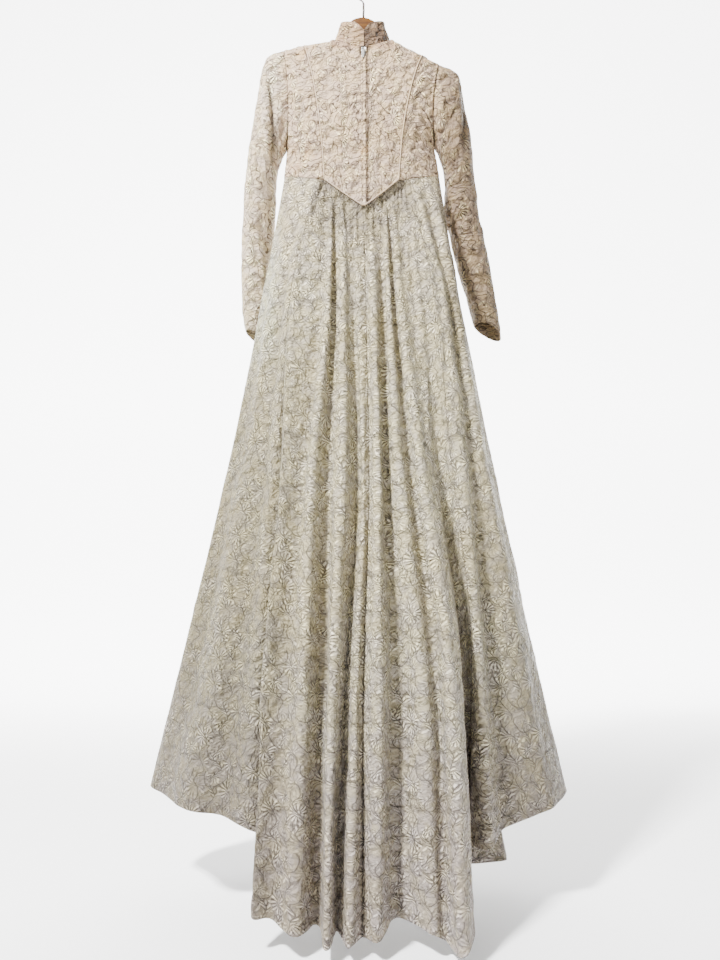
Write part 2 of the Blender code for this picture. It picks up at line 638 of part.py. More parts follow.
def fold_line(row, drop):
    """Point of one fold line at a share of the way from the waist to the hem."""
    fold = dict(zip(SKIRT_COLUMNS, row))
    widths = [fold[key] for key in ("x_waist", "x_hip", "x_thigh", "x_calf", "x_hem")]
    x = hermite(SKIRT_LEVELS, widths, drop)
    face = 1 if fold["y_hem"] >= 0 else -1
    y_waist = waist_depth(widths[0], face)
    bend = 2 * (y_waist - 2 * fold["y_thigh"] + fold["y_hem"])
    y = y_waist + (fold["y_hem"] - y_waist - bend) * drop + bend * drop * drop
    return Vector((x, y, mix(waist_height(widths[0], face) - SEAM_REST, fold["z_hem"], drop)))


def skirt_point(place, drop):
    """Skirt surface: place counts fold lines round the ring, drop runs from waist to hem."""
    count = len(SKIRT_FOLDS)
    index = math.floor(place)
    points = [fold_line(SKIRT_FOLDS[(index + k) % count], drop) for k in (-1, 0, 1, 2)]
    point = spline(*points, place - index)
    if drop < GATHER_DROP:
        # right under the seam the cloth follows the waist ring
        face = 1 if place % count <= BACK_FOLDS else -1
        seam = spline(*[fold_line(SKIRT_FOLDS[(index + k) % count], 0.0) for k in (-1, 0, 1, 2)], place - index)
        fall = Vector((seam.x, waist_depth(seam.x, face), waist_height(seam.x, face) - SEAM_REST)) - seam
        point += fall * (1 - smooth(drop / GATHER_DROP))
    return point


def skirt_normal(place, drop):
    if drop == 0:
        count = len(SKIRT_FOLDS)
        return waist_normal(skirt_point(place, 0.0).x, 1 if place % count <= BACK_FOLDS else -1)
    low, high = max(drop - 0.004, 0.0), min(drop + 0.004, 1.0)
    across = skirt_point(place + 0.03, drop) - skirt_point(place - 0.03, drop)
    along = skirt_point(place, high) - skirt_point(place, low)
    return across.cross(-along).normalized()


def fold_samples(index):
    """How many samples a fold takes, from its length at the hem."""
    length = (skirt_point(index + 1, 1.0) - skirt_point(index, 1.0)).length
    return 1 if length < SHORT_FOLD else max(2, round(length / SKIRT_STEP))


def skirt_places(first, last):
    """Places of one panel's columns between two named fold lines."""
    count = len(SKIRT_FOLDS)
    start, stop = FOLD_NAMES.index(first), FOLD_NAMES.index(last)
    if stop <= start:
        stop += count
    places = []
    for index in range(start, stop):
        samples = fold_samples(index % count)
        places += [index + k / samples for k in range(samples)]
    return places + [stop]


def make_skirt(collection, materials):
    drops = [(j / SKIRT_ROWS) ** 1.12 for j in range(SKIRT_ROWS + 1)]
    for name, first, last in SKIRT_PANELS:
        places = skirt_places(first, last)
        rows, normals = [], []
        for drop in drops:
            row = [skirt_point(place, drop) for place in places]
            normal_row = [skirt_normal(place, drop) for place in places]
            for edge, beside in ((0, 1), (-1, -2)):
                inward = row[beside] - row[edge]
                inward -= normal_row[edge] * inward.dot(normal_row[edge])
                row[edge] = row[edge] + inward.normalized() * (SEAM_GAP / 2)
            rows.append(row)
            normals.append(normal_row)
        mesh = wall_mesh(name, rows, normals, CLOTH)
        make_object(name, mesh, collection, materials["train" if name.startswith("train") else "skirt"])


# ---------------------------------------------------------------- cords on the seams
def cord_on_bodice(name, path, collection, materials):
    """Piping that lies on the bodice's outer face along a path of (a, rise) places."""
    centres, frames = [], []
    lift = CLOTH / 2 + SEAM_GAP + CORD_RADIUS
    for a, rise in path:
        normal = bodice_normal(1, a, rise)
        centres.append(bodice_point(a, rise, 1) + normal * lift)
        frames.append(normal)
    sideways = []
    for i, normal in enumerate(frames):
        along = (centres[min(i + 1, len(centres) - 1)] - centres[max(i - 1, 0)]).normalized()
        across = along.cross(normal).normalized()
        sideways.append((across, across.cross(along).normalized()))
    mesh = tube_mesh(name, centres, sideways, CORD_RADIUS, 6)
    make_object(name, mesh, collection, materials["cord"])


def make_cords(collection, materials):
    rises = [CORD_START] + list(BODICE_RISES[1:-1])
    cord_on_bodice("princess_cord_left", [(0.5, rise) for rise in rises], collection, materials)
    cord_on_bodice("princess_cord_right", [(-0.5, rise) for rise in rises], collection, materials)
    places = CENTRE_PLACES[::-1] + [-a for a in CENTRE_PLACES[1:]]
    cord_on_bodice("waist_cord", [(a, WAIST_CORD_RISE) for a in places], collection, materials)


# ---------------------------------------------------------------- zip
def strip_rows(left, right, low_rise, high_rise, lift):
    """A strip that follows the centre back at its own rows, moved out from its surface."""
    rises = [low_rise] + [rise for rise in BODICE_RISES if low_rise < rise < high_rise] + [high_rise]
    rows, normals = [], []
    for rise in rises:
        z = bodice_point(0.0, rise, 1).z
        pairs = [centre_back_at(x, z) for x in (left, (left + right) / 2, right)]
        rows.append([point + normal * lift for point, normal in pairs])
        normals.append([normal for _, normal in pairs])
    return rows, normals


def centre_back_at(x, z):
    """Bodice's back surface at a small x and a height."""
    low, high = 0.0, 1.0
    a = x / WAIST_LEFT * 0.98 if x >= 0 else x / WAIST_RIGHT * 0.98
    a = math.copysign(max(abs(a), 0.002), x if x else 1)
    for _ in range(24):
        rise = (low + high) / 2
        if bodice_point(a, rise, 1).z < z:
            low = rise
        else:
            high = rise
    point = bodice_point(a, rise, 1)
    normal = bodice_normal(1, a, min(max(rise, 0.005), 0.985))
    normal = Vector((0, normal.y, normal.z)).normalized()
    return Vector((x, point.y, z)), normal


ZIP_LOW_RISE = 0.035    # where the lap and the tape end above the waist's point
LAP_HIGH_RISE = 0.935
TAPE_HIGH_RISE = 0.985


def make_zip(collection, materials):
    lap_lift = CLOTH / 2 + SEAM_GAP + LAP_THICK / 2
    rows, normals = strip_rows(LAP_LEFT, LAP_RIGHT, ZIP_LOW_RISE, LAP_HIGH_RISE, lap_lift)
    mesh = wall_mesh("zip_lap", rows, normals, LAP_THICK)
    make_object("zip_lap", mesh, collection, materials["bodice"])
    tape_lift = -(CLOTH / 2 + TAPE_CLEAR + TAPE_THICK / 2)
    rows, normals = strip_rows(TAPE_HALF, -TAPE_HALF, ZIP_LOW_RISE, TAPE_HIGH_RISE, tape_lift)
    mesh = wall_mesh("zip_tape", rows, normals, TAPE_THICK)
    make_object("zip_tape", mesh, collection, materials["tape"])


def block(name, size, centre, bevel, collection, material):
    mesh_data = bmesh.new()
    made = bmesh.ops.create_cube(mesh_data, size=1.0)
    for vert in made["verts"]:
        vert.co = Vector([vert.co[k] * size[k] + centre[k] for k in range(3)])
    if bevel:
        bmesh.ops.bevel(mesh_data, geom=mesh_data.edges[:], offset=bevel, segments=2, affect="EDGES",
                        profile=0.5)
    bmesh.ops.triangulate(mesh_data, faces=mesh_data.faces)
    return make_object(name, finish_mesh(name, mesh_data), collection, material)


def rod(name, radius, length, centre, sides, collection, material):
    """A round bar along X."""
    mesh_data = bmesh.new()
    bmesh.ops.create_cone(mesh_data, cap_ends=True, segments=sides, radius1=radius, radius2=radius,
                          depth=length,
                          matrix=Matrix.Translation(centre) @ Matrix.Rotation(math.pi / 2, 4, "Y"))
    bmesh.ops.triangulate(mesh_data, faces=mesh_data.faces)
    return make_object(name, finish_mesh(name, mesh_data), collection, material)


def join_boolean(target, tool, operation):
    """Joins a tool into its target, or cuts it out, and leaves a plain mesh."""
    modifier = target.modifiers.new(operation.lower(), "BOOLEAN")
    modifier.operation = operation
    modifier.solver = "EXACT"
    modifier.object = tool
    bpy.context.view_layer.update()
    graph = bpy.context.evaluated_depsgraph_get()
    mesh = bpy.data.meshes.new_from_object(target.evaluated_get(graph))
    mesh_data = bmesh.new()
    mesh_data.from_mesh(mesh)
    bmesh.ops.remove_doubles(mesh_data, verts=mesh_data.verts, dist=1e-6)
    bmesh.ops.triangulate(mesh_data, faces=mesh_data.faces)
    mesh_data.to_mesh(mesh)
    mesh_data.free()
    target.modifiers.remove(modifier)
    old = target.data
    target.data = mesh
    bpy.data.meshes.remove(old)
    bpy.data.objects.remove(tool, do_unlink=True)


def make_slider(collection, materials):
    """Slider body over the tape with two ears and a pin, and the pull tab that hangs on the pin."""
    width, depth, height = 0.0068, 0.0026, 0.0096
    ear_width, ear_depth, ear_height = 0.0008, 0.0040, 0.0030
    ear_reach = EYE_WIDTH / 2 + SEAM_GAP + ear_width / 2
    base, _ = centre_back_at(SLIDER_X, SLIDER_Z)
    body_y = base.y + CLOTH / 2 + SLIDER_LIFT + depth / 2
    pin_y = body_y + depth / 2 + EYE_RADIUS + PIN_CLEAR
    pin_z = SLIDER_Z + 0.0012
    pin_at = Vector((SLIDER_X, pin_y, pin_z))
    material = materials["zip"]
    slider = block("zip_slider", (width, depth, height), (SLIDER_X, body_y, SLIDER_Z), 0.0008, collection,
                   material)
    for sign in (-1, 1):
        ear = block("ear", (ear_width, ear_depth, ear_height),
                    (SLIDER_X + sign * ear_reach, body_y + ear_depth * 0.65, pin_z), 0.0, collection, material)
        join_boolean(slider, ear, "UNION")
    pin = rod("pin", PIN_RADIUS, 2 * ear_reach, pin_at, 10, collection, material)
    join_boolean(slider, pin, "UNION")
    slider.data.name = "zip_slider"
    # the tab: a round eye on the pin, a narrow neck between the ears and a wide plate below them
    tab = rod("zip_pull", EYE_RADIUS, EYE_WIDTH, (0, 0, 0), 14, collection, material)
    tab.location = pin_at
    bpy.context.view_layer.update()
    neck = block("neck", (EYE_WIDTH * 0.94, TAB_THICK, TAB_START + TAB_THICK),
                 pin_at - Vector((0, 0, (TAB_START + TAB_THICK) / 2)), 0.0, collection, material)
    join_boolean(tab, neck, "UNION")
    plate_length = TAB_LENGTH - TAB_START
    plate = block("plate", (TAB_WIDTH, TAB_THICK * 1.02, plate_length),
                  pin_at - Vector((0, 0, TAB_START + plate_length / 2)), 0.0004, collection, material)
    join_boolean(tab, plate, "UNION")
    hole = rod("hole", PIN_RADIUS + PIN_CLEAR, 4 * EYE_WIDTH, pin_at, 12, collection, material)
    join_boolean(tab, hole, "DIFFERENCE")
    tab.data.name = "zip_pull"


# ---------------------------------------------------------------- hanger
# One row for each point along an arm: distance from the middle, top, height and half thickness.
HANGER_COLUMNS = ("distance", "top", "height", "half")
HANGER_SECTIONS = [
    (0.0000, 0.0000, 0.046, 0.0060),
    (0.0130, -0.0022, 0.046, 0.0060),
    (0.0260, -0.0095, 0.044, 0.0060),
    (0.0380, -0.0270, 0.037, 0.0060),
    (0.0480, -0.0480, 0.029, 0.0060),
    (0.0560, -0.0665, 0.025, 0.0060),
    (0.0645, -0.0736, 0.023, 0.0060),
    (0.0900, -0.0800, 0.023, 0.0060),
    (0.1200, -0.0875, 0.023, 0.0060),
    (0.1450, -0.0938, 0.021, 0.0055),
    (0.1560, -0.0980, 0.017, 0.0042),
]
# Section of the wood: depth as a share of the half thickness, height as a share of its own.
HANGER_PROFILE = [(-1, 0.25), (-1, 0.75), (-0.5, 1), (0.5, 1), (1, 0.75), (1, 0.25), (0.5, 0), (-0.5, 0)]


def make_hanger(collection, materials):
    """Flat shaped bar with rounded edges, tilted a little in its own plane."""
    sections = [dict(zip(HANGER_COLUMNS, row)) for row in HANGER_SECTIONS]
    places = [(-1, row) for row in sections[:0:-1]] + [(1, row) for row in sections]
    mesh_data = bmesh.new()
    rings = []
    for sign, row in places:
        x = sign * row["distance"]
        low_z = HANGER_TOP_Z + row["top"] + HANGER_TILT * x - row["height"]
        ring = [Vector((x, y * row["half"], low_z + up * row["height"])) for y, up in HANGER_PROFILE]
        rings.append([mesh_data.verts.new(point) for point in ring])
    count = len(HANGER_PROFILE)
    for a, b in zip(rings, rings[1:]):
        for i in range(count):
            k = (i + 1) % count
            mesh_data.faces.new((a[i], a[k], b[k], b[i]))
    mesh_data.faces.new(rings[0])
    mesh_data.faces.new(rings[-1])
    bmesh.ops.triangulate(mesh_data, faces=mesh_data.faces)
    make_object("hanger_wood", finish_mesh("hanger_wood", mesh_data), collection, materials["wood"])


def make_hook(collection, materials):
    """Bent wire: a stem on the wood, then a bow whose inside top is the origin."""
    centre_z = -(HOOK_RADIUS - WIRE_RADIUS)
    stem = [(0.0, HANGER_TOP_Z + SEAM_GAP), (0.0, -0.0500), (0.0, -0.0410), (0.0032, -0.0350)]
    bow = [math.radians(angle) for angle in range(-55, 202, 15)]
    stem += [(HOOK_RADIUS * math.cos(a), centre_z + HOOK_RADIUS * math.sin(a)) for a in bow]
    points = [Vector((x, 0, z)) for x, z in stem]
    outward = Vector((0, 1, 0))
    sideways = []
    for i in range(len(points)):
        along = (points[min(i + 1, len(points) - 1)] - points[max(i - 1, 0)]).normalized()
        sideways.append((along.cross(outward), outward))
    mesh = tube_mesh("hanger_hook", points, sideways, WIRE_RADIUS, 10)
    make_object("hanger_hook", mesh, collection, materials["wire"])


def main():
    clear_scene()
    parts = make_collection("wedding_dress")
    hard = {"wood": 0.35, "wire": 0.35, "zip": 0.30}
    materials = {}
    for key, colour in COLOURS.items():
        materials[key] = make_material(key, colour, hard.get(key, 0.75), 0.8 if key == "wire" else 0.0)
    make_bodice(parts, materials)
    make_collar(parts, materials)
    make_sleeve("left", parts, materials)
    make_sleeve("right", parts, materials)
    make_skirt(parts, materials)
    make_cords(parts, materials)
    make_zip(parts, materials)
    make_slider(parts, materials)
    make_hanger(parts, materials)
    make_hook(parts, materials)


main()
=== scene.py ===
import math

import bmesh
import bpy
import numpy as np
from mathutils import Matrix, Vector


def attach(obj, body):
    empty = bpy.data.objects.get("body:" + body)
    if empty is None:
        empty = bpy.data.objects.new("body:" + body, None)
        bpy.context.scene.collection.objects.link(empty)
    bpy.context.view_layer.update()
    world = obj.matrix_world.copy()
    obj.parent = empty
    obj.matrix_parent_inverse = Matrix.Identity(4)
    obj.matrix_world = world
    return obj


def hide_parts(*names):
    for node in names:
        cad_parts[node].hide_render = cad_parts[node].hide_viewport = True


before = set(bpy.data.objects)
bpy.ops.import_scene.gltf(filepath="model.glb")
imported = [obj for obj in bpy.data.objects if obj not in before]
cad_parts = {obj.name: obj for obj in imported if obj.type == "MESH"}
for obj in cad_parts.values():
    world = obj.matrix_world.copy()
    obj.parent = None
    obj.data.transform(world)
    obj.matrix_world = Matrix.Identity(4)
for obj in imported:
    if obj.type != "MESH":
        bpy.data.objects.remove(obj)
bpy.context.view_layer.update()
print("frame loaded")


# Small mathematics

def mix(a, b, share):
    return a + (b - a) * share


def smooth(share):
    share = np.clip(share, 0.0, 1.0)
    return share * share * (3 - 2 * share)


def bell(distance, width):
    return np.exp(-(distance / width) ** 2)


def unit(vectors):
    return vectors / np.maximum(np.linalg.norm(vectors, axis=-1, keepdims=True), 1e-9)


def hermite(levels, values, level):
    # smooth columns of values, one column for each place, read at every level
    levels = np.asarray(levels, float)
    values = np.asarray(values, float)
    level = np.atleast_1d(np.asarray(level, float))
    last = len(levels) - 1
    index = np.clip(np.searchsorted(levels, level, side="left") - 1, 0, last - 1)
    before, after = np.maximum(index - 1, 0), np.minimum(index + 2, last)
    step = (levels[index + 1] - levels[index])[:, None]
    share = (level - levels[index])[:, None] / step
    slopeA = (values[index + 1] - values[before]) / (levels[index + 1] - levels[before])[:, None]
    slopeB = (values[after] - values[index]) / (levels[after] - levels[index])[:, None]
    s2, s3 = share ** 2, share ** 3
    return ((2 * s3 - 3 * s2 + 1) * values[index] + (s3 - 2 * s2 + share) * step * slopeA
            + (3 * s2 - 2 * s3) * values[index + 1] + (s3 - s2) * step * slopeB)


def spline(p0, p1, p2, p3, share):
    # centripetal curve between p1 and p2, which never loops at a tight fold
    def root(a, b):
        return np.maximum(np.linalg.norm(b - a, axis=-1, keepdims=True) ** 0.5, 1e-4)

    k1 = root(p0, p1)
    k2 = k1 + root(p1, p2)
    k3 = k2 + root(p2, p3)
    k = mix(k1, k2, share)
    a1 = p0 * ((k1 - k) / k1) + p1 * (k / k1)
    a2 = p1 * ((k2 - k) / (k2 - k1)) + p2 * ((k - k1) / (k2 - k1))
    a3 = p2 * ((k3 - k) / (k3 - k2)) + p3 * ((k - k2) / (k3 - k2))
    b1 = a1 * ((k2 - k) / k2) + a2 * (k / k2)
    b2 = a2 * ((k3 - k) / (k3 - k1)) + a3 * ((k - k1) / (k3 - k1))
    return b1 * ((k2 - k) / (k2 - k1)) + b2 * ((k - k1) / (k2 - k1))


def softWaves(u, v, length, seed):
    # uneven swell from a few crossing waves, between about -1 and 1
    maker = np.random.default_rng(seed)
    total = np.zeros(np.broadcast(u, v).shape)
    for _ in range(6):
        turn = maker.uniform(0, math.pi)
        stretch = maker.uniform(0.6, 1.5)
        phase = maker.uniform(0, 2 * math.pi)
        along = (u * math.cos(turn) + v * math.sin(turn)) / (length * stretch)
        total += np.sin(2 * math.pi * along + phase) / 6
    return total * 1.6


# Cloth shells

clothValues = {
    "thickness": 0.0012, "thin": 0.0008, "lift": 0.0002, "seamDip": 0.0007, "seamWidth": 0.0016,
    "hollowPower": 1.3, "creaseFade": 0.3, "creaseReach": 4, "rimShare": 0.3, "rimWidth": 2.1,
}
grids = {}      # outer face and normals of each shell, for what is sewn on it
pieces = {}     # finished piece by the name of the node that it shows


def placeObject(name, data):
    item = bpy.data.objects.new(name, data)
    bpy.context.scene.collection.objects.link(item)
    return item


def gridNormals(points, closed=False):
    across = np.roll(points, -1, 1) - np.roll(points, 1, 1) if closed else np.gradient(points, axis=1)
    return unit(np.cross(across, np.gradient(points, axis=0)))


def faceOut(points, away, closed=False):
    # normals on the side that away points to, with 1 or -1 for that side
    normals = gridNormals(points, closed)
    outward = 1 if np.sum(normals * away) >= 0 else -1
    return normals * outward, outward


def flatPlaces(points, middle=0):
    # distances over the cloth: across each row from its middle column, and down from the first row
    steps = np.linalg.norm(np.diff(points, axis=1), axis=-1)
    across = np.concatenate([np.zeros((len(points), 1)), np.cumsum(steps, axis=1)], axis=1)
    across = across - across[:, middle:middle + 1]
    drops = np.linalg.norm(np.diff(points, axis=0), axis=-1)
    down = np.concatenate([np.zeros((1, points.shape[1])), np.cumsum(drops, axis=0)], axis=0)
    return across, down


def smoothPath(path, steps=6):
    path = np.asarray(path, float)
    count = len(path)
    if count < 3:
        return path
    return hermite(range(count), path, np.linspace(0, count - 1, (count - 1) * steps + 1))


def creaseHeight(points, creases):
    # ridges (above nought) and troughs (below) along given paths, in metres across and up
    v = clothValues
    x, z = points[..., 0], points[..., 2]
    height = np.zeros(x.shape)
    for path, width, depth in creases:
        line = smoothPath(path)
        reach = v["creaseReach"] * width
        near = ((x > line[:, 0].min() - reach) & (x < line[:, 0].max() + reach)
                & (z > line[:, 1].min() - reach) & (z < line[:, 1].max() + reach))
        if not near.any():
            continue
        px, pz = x[near], z[near]
        best = np.full(px.shape, np.inf)
        place = np.zeros(px.shape)
        lengths = np.linalg.norm(np.diff(line, axis=0), axis=1)
        done = 0.0
        for start, end, length in zip(line, line[1:], lengths):
            lineX, lineZ = (end - start) / length
            along = np.clip((px - start[0]) * lineX + (pz - start[1]) * lineZ, 0, length)
            gap = np.hypot(px - start[0] - lineX * along, pz - start[1] - lineZ * along)
            closer = gap < best
            best = np.where(closer, gap, best)
            place = np.where(closer, (done + along) / lengths.sum(), place)
            done += length
        fade = smooth(place / v["creaseFade"]) * smooth((1 - place) / v["creaseFade"])
        rim = v["rimShare"] * bell(best, v["rimWidth"] * width)
        height[near] += depth * fade * (bell(best, width) - rim)
    return height


def swellHeight(swells, across, along, fromEdge, seed):
    # soft swells: height, length, seed's shift, fading distance at an edge, stretch across and along
    height = np.zeros(across.shape)
    for size, length, shift, fade, wide, tall in swells:
        waves = softWaves(across * wide, along * tall, length, seed + shift)
        height += size * waves * smooth(fromEdge / fade)
    return height


def hollowShade(height, deep):
    # share of the light and the cleaning that a hollow misses
    return np.clip(-height / deep, 0.0, 1.0) ** clothValues["hollowPower"]


def lineShade(distance, line):
    # soil and shadow along a seam: its share, its place and its width
    share, place, width = line
    return share * bell(distance - place, width)


def shellFaces(rows, columns, spans, stride, outward, closed):
    # corners of both skins and of the rims; a closed grid meets its first column where stride allows
    shift = rows * stride
    j, i = np.meshgrid(np.arange(rows - 1), np.arange(spans), indexing="ij")
    k = (i + 1) % columns if stride == columns else i + 1
    a, b, c, d = [(m * stride + n).ravel() for m, n in ((j, i), (j, k), (j + 1, k), (j + 1, i))]
    front = np.stack([a, b, c, d] if outward > 0 else [a, d, c, b], axis=1)
    line = np.arange(spans)
    after = (line + 1) % columns if stride == columns else line + 1
    base = (rows - 1) * stride
    rims = [np.stack([line, line + shift, after + shift, after], axis=1),
            np.stack([line + base, after + base, after + base + shift, line + base + shift], axis=1)]
    if not closed:
        post = np.arange(rows - 1) * stride
        rims.append(np.stack([post, post + stride, post + stride + shift, post + shift], axis=1))
        post = post + columns - 1
        rims.append(np.stack([post, post + shift, post + stride + shift, post + stride], axis=1))
    rims = np.concatenate(rims)
    return np.concatenate([front, front[:, ::-1] + shift, rims if outward > 0 else rims[:, ::-1]]), len(front)


def makeShell(name, points, normals, uvs, outward, closed=False, thickness=None, shade=None):
    # outer and wrong side of one piece of cloth on a grid, joined round their edges
    thickness = thickness or clothValues["thickness"]
    grids[name] = (points, normals)
    rows, columns = points.shape[:2]
    spans = columns if closed else columns - 1
    skins = [points + normals * (clothValues["lift"] + side * thickness / 2) for side in (1, -1)]
    faces, skin = shellFaces(rows, columns, spans, columns, outward, closed)
    mesh = bpy.data.meshes.new(name)
    mesh.from_pydata(np.concatenate(skins).reshape(-1, 3).tolist(), [], faces.tolist())
    layer = mesh.uv_layers.new(name="cloth")
    corners, _ = shellFaces(rows, columns, spans, uvs.shape[1], outward, closed)
    flat = np.concatenate([uvs.reshape(-1, 2)] * 2)
    layer.data.foreach_set("uv", flat[corners.ravel()].ravel())
    # painted shade at each point, the same on both skins; the cloth's material darkens its colour by it
    dark = mesh.attributes.new("shade", "FLOAT", "POINT")
    if shade is not None:
        dark.data.foreach_set("value", np.concatenate([shade.ravel()] * 2).astype(np.float32))
    slots = np.zeros(len(faces), dtype=np.int32)
    slots[skin:2 * skin] = 1
    mesh.polygons.foreach_set("material_index", slots)
    mesh.shade_smooth()
    return placeObject(name, mesh)


def rideDress(item):
    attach(item, "dress")
    return item


def dressPiece(item, node, materials):
    item.data.materials.clear()
    for material in materials:
        item.data.materials.append(material)
    rideDress(item)
    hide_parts(node)
    pieces[node] = item
    return item


def sewPanel(node, points, normals, height, uvs, outward, materials, shade, closed=False):
    # a panel's shell, raised and lowered by its folds
    points = points + normals * height[..., None]
    normals = gridNormals(points, closed) * outward
    item = makeShell(node, points, normals, uvs, outward, closed=closed, shade=shade)
    return dressPiece(item, node, materials)


def withEdges(places, edge, closeness=(0.0, 0.0012, 0.0026, 0.005)):
    # evenly spread places with a few more close to both ends; edge is the spread's whole length
    extra = [c / edge for c in closeness]
    low, high = places[0], places[-1]
    near = [mix(low, high, c) for c in extra] + [mix(high, low, c) for c in extra]
    clear = extra[-1] * 1.4
    inner = [p for p in places if clear < abs(p - low) / abs(high - low) < 1 - clear]
    return np.array(sorted(set(near + inner), reverse=bool(places[0] > places[-1])))


# The body's form

bodySides = {
    "left": {"waist": 0.173, "underX": 0.166, "underZ": -0.384, "shoulderX": 0.177, "shoulderZ": -0.153,
             "neckX": 0.0645, "princessWaist": 0.0836, "princessTop": 0.132},
    "right": {"waist": 0.165, "underX": 0.152, "underZ": -0.3745, "shoulderX": 0.1676, "shoulderZ": -0.186,
              "neckX": 0.058, "princessWaist": 0.0740, "princessTop": 0.131},
}
bodyValues = {
    "waistZ": -0.452, "waistSag": 0.0335, "pointDrop": 0.054, "waistBack": 0.052, "waistFront": 0.056,
    "round": 2.6, "chestBack": 0.060, "chestFront": 0.072, "topBack": 0.048, "topFront": 0.062,
    "shoulderCap": 0.055, "armholeHalf": 0.028, "neckZ": -0.141, "neckBackDrop": 0.034,
    "neckFrontDrop": 0.044, "neckBack": 0.045, "neckFront": 0.052, "neckRound": 2.5, "neckRoll": 0.9,
    "neckShare": 0.25, "neckFlare": 0.018, "flareTop": 0.18, "flareEnd": 0.5,
}


def sided(key, a):
    return np.where(np.asarray(a) >= 0, bodySides["left"][key], bodySides["right"][key])


def ringDepth(x, half, depth):
    share = np.minimum(np.abs(x) / half, 1.0)
    return depth * np.sqrt(np.maximum(1 - share ** bodyValues["round"], 0.0))


def waistHeight(x, face):
    v = bodyValues
    share = np.minimum(np.abs(x) / sided("waist", x), 1.0)
    sag = v["waistSag"] * (1 - share ** 2)
    point = v["pointDrop"] * np.maximum(1 - np.abs(x) / sided("princessWaist", x), 0.0)
    return np.where(face > 0, v["waistZ"] - sag - point, v["waistZ"] - 0.3 * sag)


def waistDepth(x, face):
    full = np.where(face > 0, bodyValues["waistBack"], bodyValues["waistFront"])
    return np.sign(face) * ringDepth(x, sided("waist", x), full)


def neckRing(x, face):
    v = bodyValues
    share = np.minimum(np.abs(x) / sided("neckX", x), 1.0)
    bow = np.maximum(1 - share ** v["neckRound"], 0.0) ** (1 / v["neckRound"])
    depth = np.where(face > 0, v["neckBack"], v["neckFront"])
    drop = np.where(face > 0, v["neckBackDrop"], v["neckFrontDrop"])
    roll = 1 - math.sqrt(1 - v["neckRoll"] ** 2)
    fall = (1 - np.sqrt(1 - (v["neckRoll"] * bow) ** 2)) / roll
    return face * depth * bow, v["neckZ"] - drop * fall


def bodicePoint(a, rise, face):
    # a runs from -1 at the right edge to 1 at the left, rise from the waist to the top
    v = bodyValues
    a, rise = np.broadcast_arrays(np.asarray(a, float), np.clip(np.asarray(rise, float), 0.0, 1.0))
    share = np.abs(a)
    sign = np.where(a >= 0, 1.0, -1.0)
    waist, underX, underZ = sided("waist", a), sided("underX", a), sided("underZ", a)
    shoulderX, shoulderZ = sided("shoulderX", a), sided("shoulderZ", a)
    # the side seam and the armhole's edge
    edgeZ = mix(v["waistZ"], shoulderZ, rise)
    below = (edgeZ - v["waistZ"]) / (underZ - v["waistZ"])
    above = np.clip((edgeZ - underZ) / (shoulderZ - underZ), 0.0, 1.0)
    low = edgeZ <= underZ
    edgeX = np.where(low, mix(waist, underX, below),
                     mix(underX, shoulderX, above ** 1.6) - 0.005 * np.sin(math.pi * above))
    edgeY = np.where(low, 0.0, v["armholeHalf"] * np.sqrt(np.maximum(1 - (2 * above - 1) ** 2, 0.0)))
    # places across at the waist and at the top
    lowMid = sided("princessWaist", a) / waist
    highMid = sided("princessTop", a) / shoulderX
    highNeck = sided("neckX", a) / shoulderX
    neckShare = v["neckShare"]
    inside = share <= 0.5
    atNeck = share <= neckShare
    lowPlace = np.where(inside, lowMid * share / 0.5, mix(lowMid, 1.0, np.sin(math.pi * (share - 0.5))))
    neckPlace = highNeck * np.sin(math.pi / 2 * np.minimum(share / neckShare, 1.0))
    middle = mix(highNeck, highMid, (share - neckShare) / (0.5 - neckShare))
    highPlace = np.where(atNeck, neckPlace, np.where(inside, middle, mix(highMid, 1.0, (share - 0.5) / 0.5)))
    climb = rise ** 1.15
    x = edgeX * mix(lowPlace, highPlace, climb)
    topX = shoulderX * highPlace
    down = 1 - rise
    spread = np.sqrt(np.maximum(1 - (1 - np.minimum(down / v["flareTop"], 1.0)) ** 2, 0.0))
    spread = spread * (1 - smooth(down / v["flareEnd"]))
    flare = np.where(atNeck, highPlace / highNeck, np.maximum(1 - (share - neckShare) / neckShare, 0.0))
    x = x + v["neckFlare"] * spread * flare
    neckY, neckZ = neckRing(sign * topX, face)
    topY = np.where(atNeck, neckY, 0.0)
    topZ = np.where(atNeck, neckZ, mix(v["neckZ"], shoulderZ, (highPlace - highNeck) / (1 - highNeck)))
    z = mix(waistHeight(sign * waist * lowPlace, face), topZ, rise)
    z = np.where(share > 0.9999, edgeZ, z)
    taper = np.clip((z - v["waistZ"]) / (underZ - v["waistZ"]), 0.0, 1.0)
    width = mix(waist, underX, taper) + 0.030 * smooth((z - underZ) / 0.05)
    level = (z - v["waistZ"]) / (v["neckZ"] - v["waistZ"])
    back = face > 0
    waistPart = v["waistBack"] if back else v["waistFront"]
    chestPart = v["chestBack"] if back else v["chestFront"]
    topPart = v["topBack"] if back else v["topFront"]
    full = np.where(level < 0.3, mix(waistPart, chestPart, smooth(level / 0.3)),
                    mix(chestPart, topPart, smooth((level - 0.3) / 0.7)))
    depth = ringDepth(x, width, full)
    depth = depth + (edgeY - ringDepth(edgeX, width, full)) * (x / edgeX) ** 6
    fall = np.minimum((topZ - z) / v["shoulderCap"], 1.0)
    cap = np.sqrt(np.maximum(1 - (1 - fall) ** 2, 0.0))
    return np.stack([sign * x, mix(topY, face * depth, cap), z], axis=-1)


# Bodice

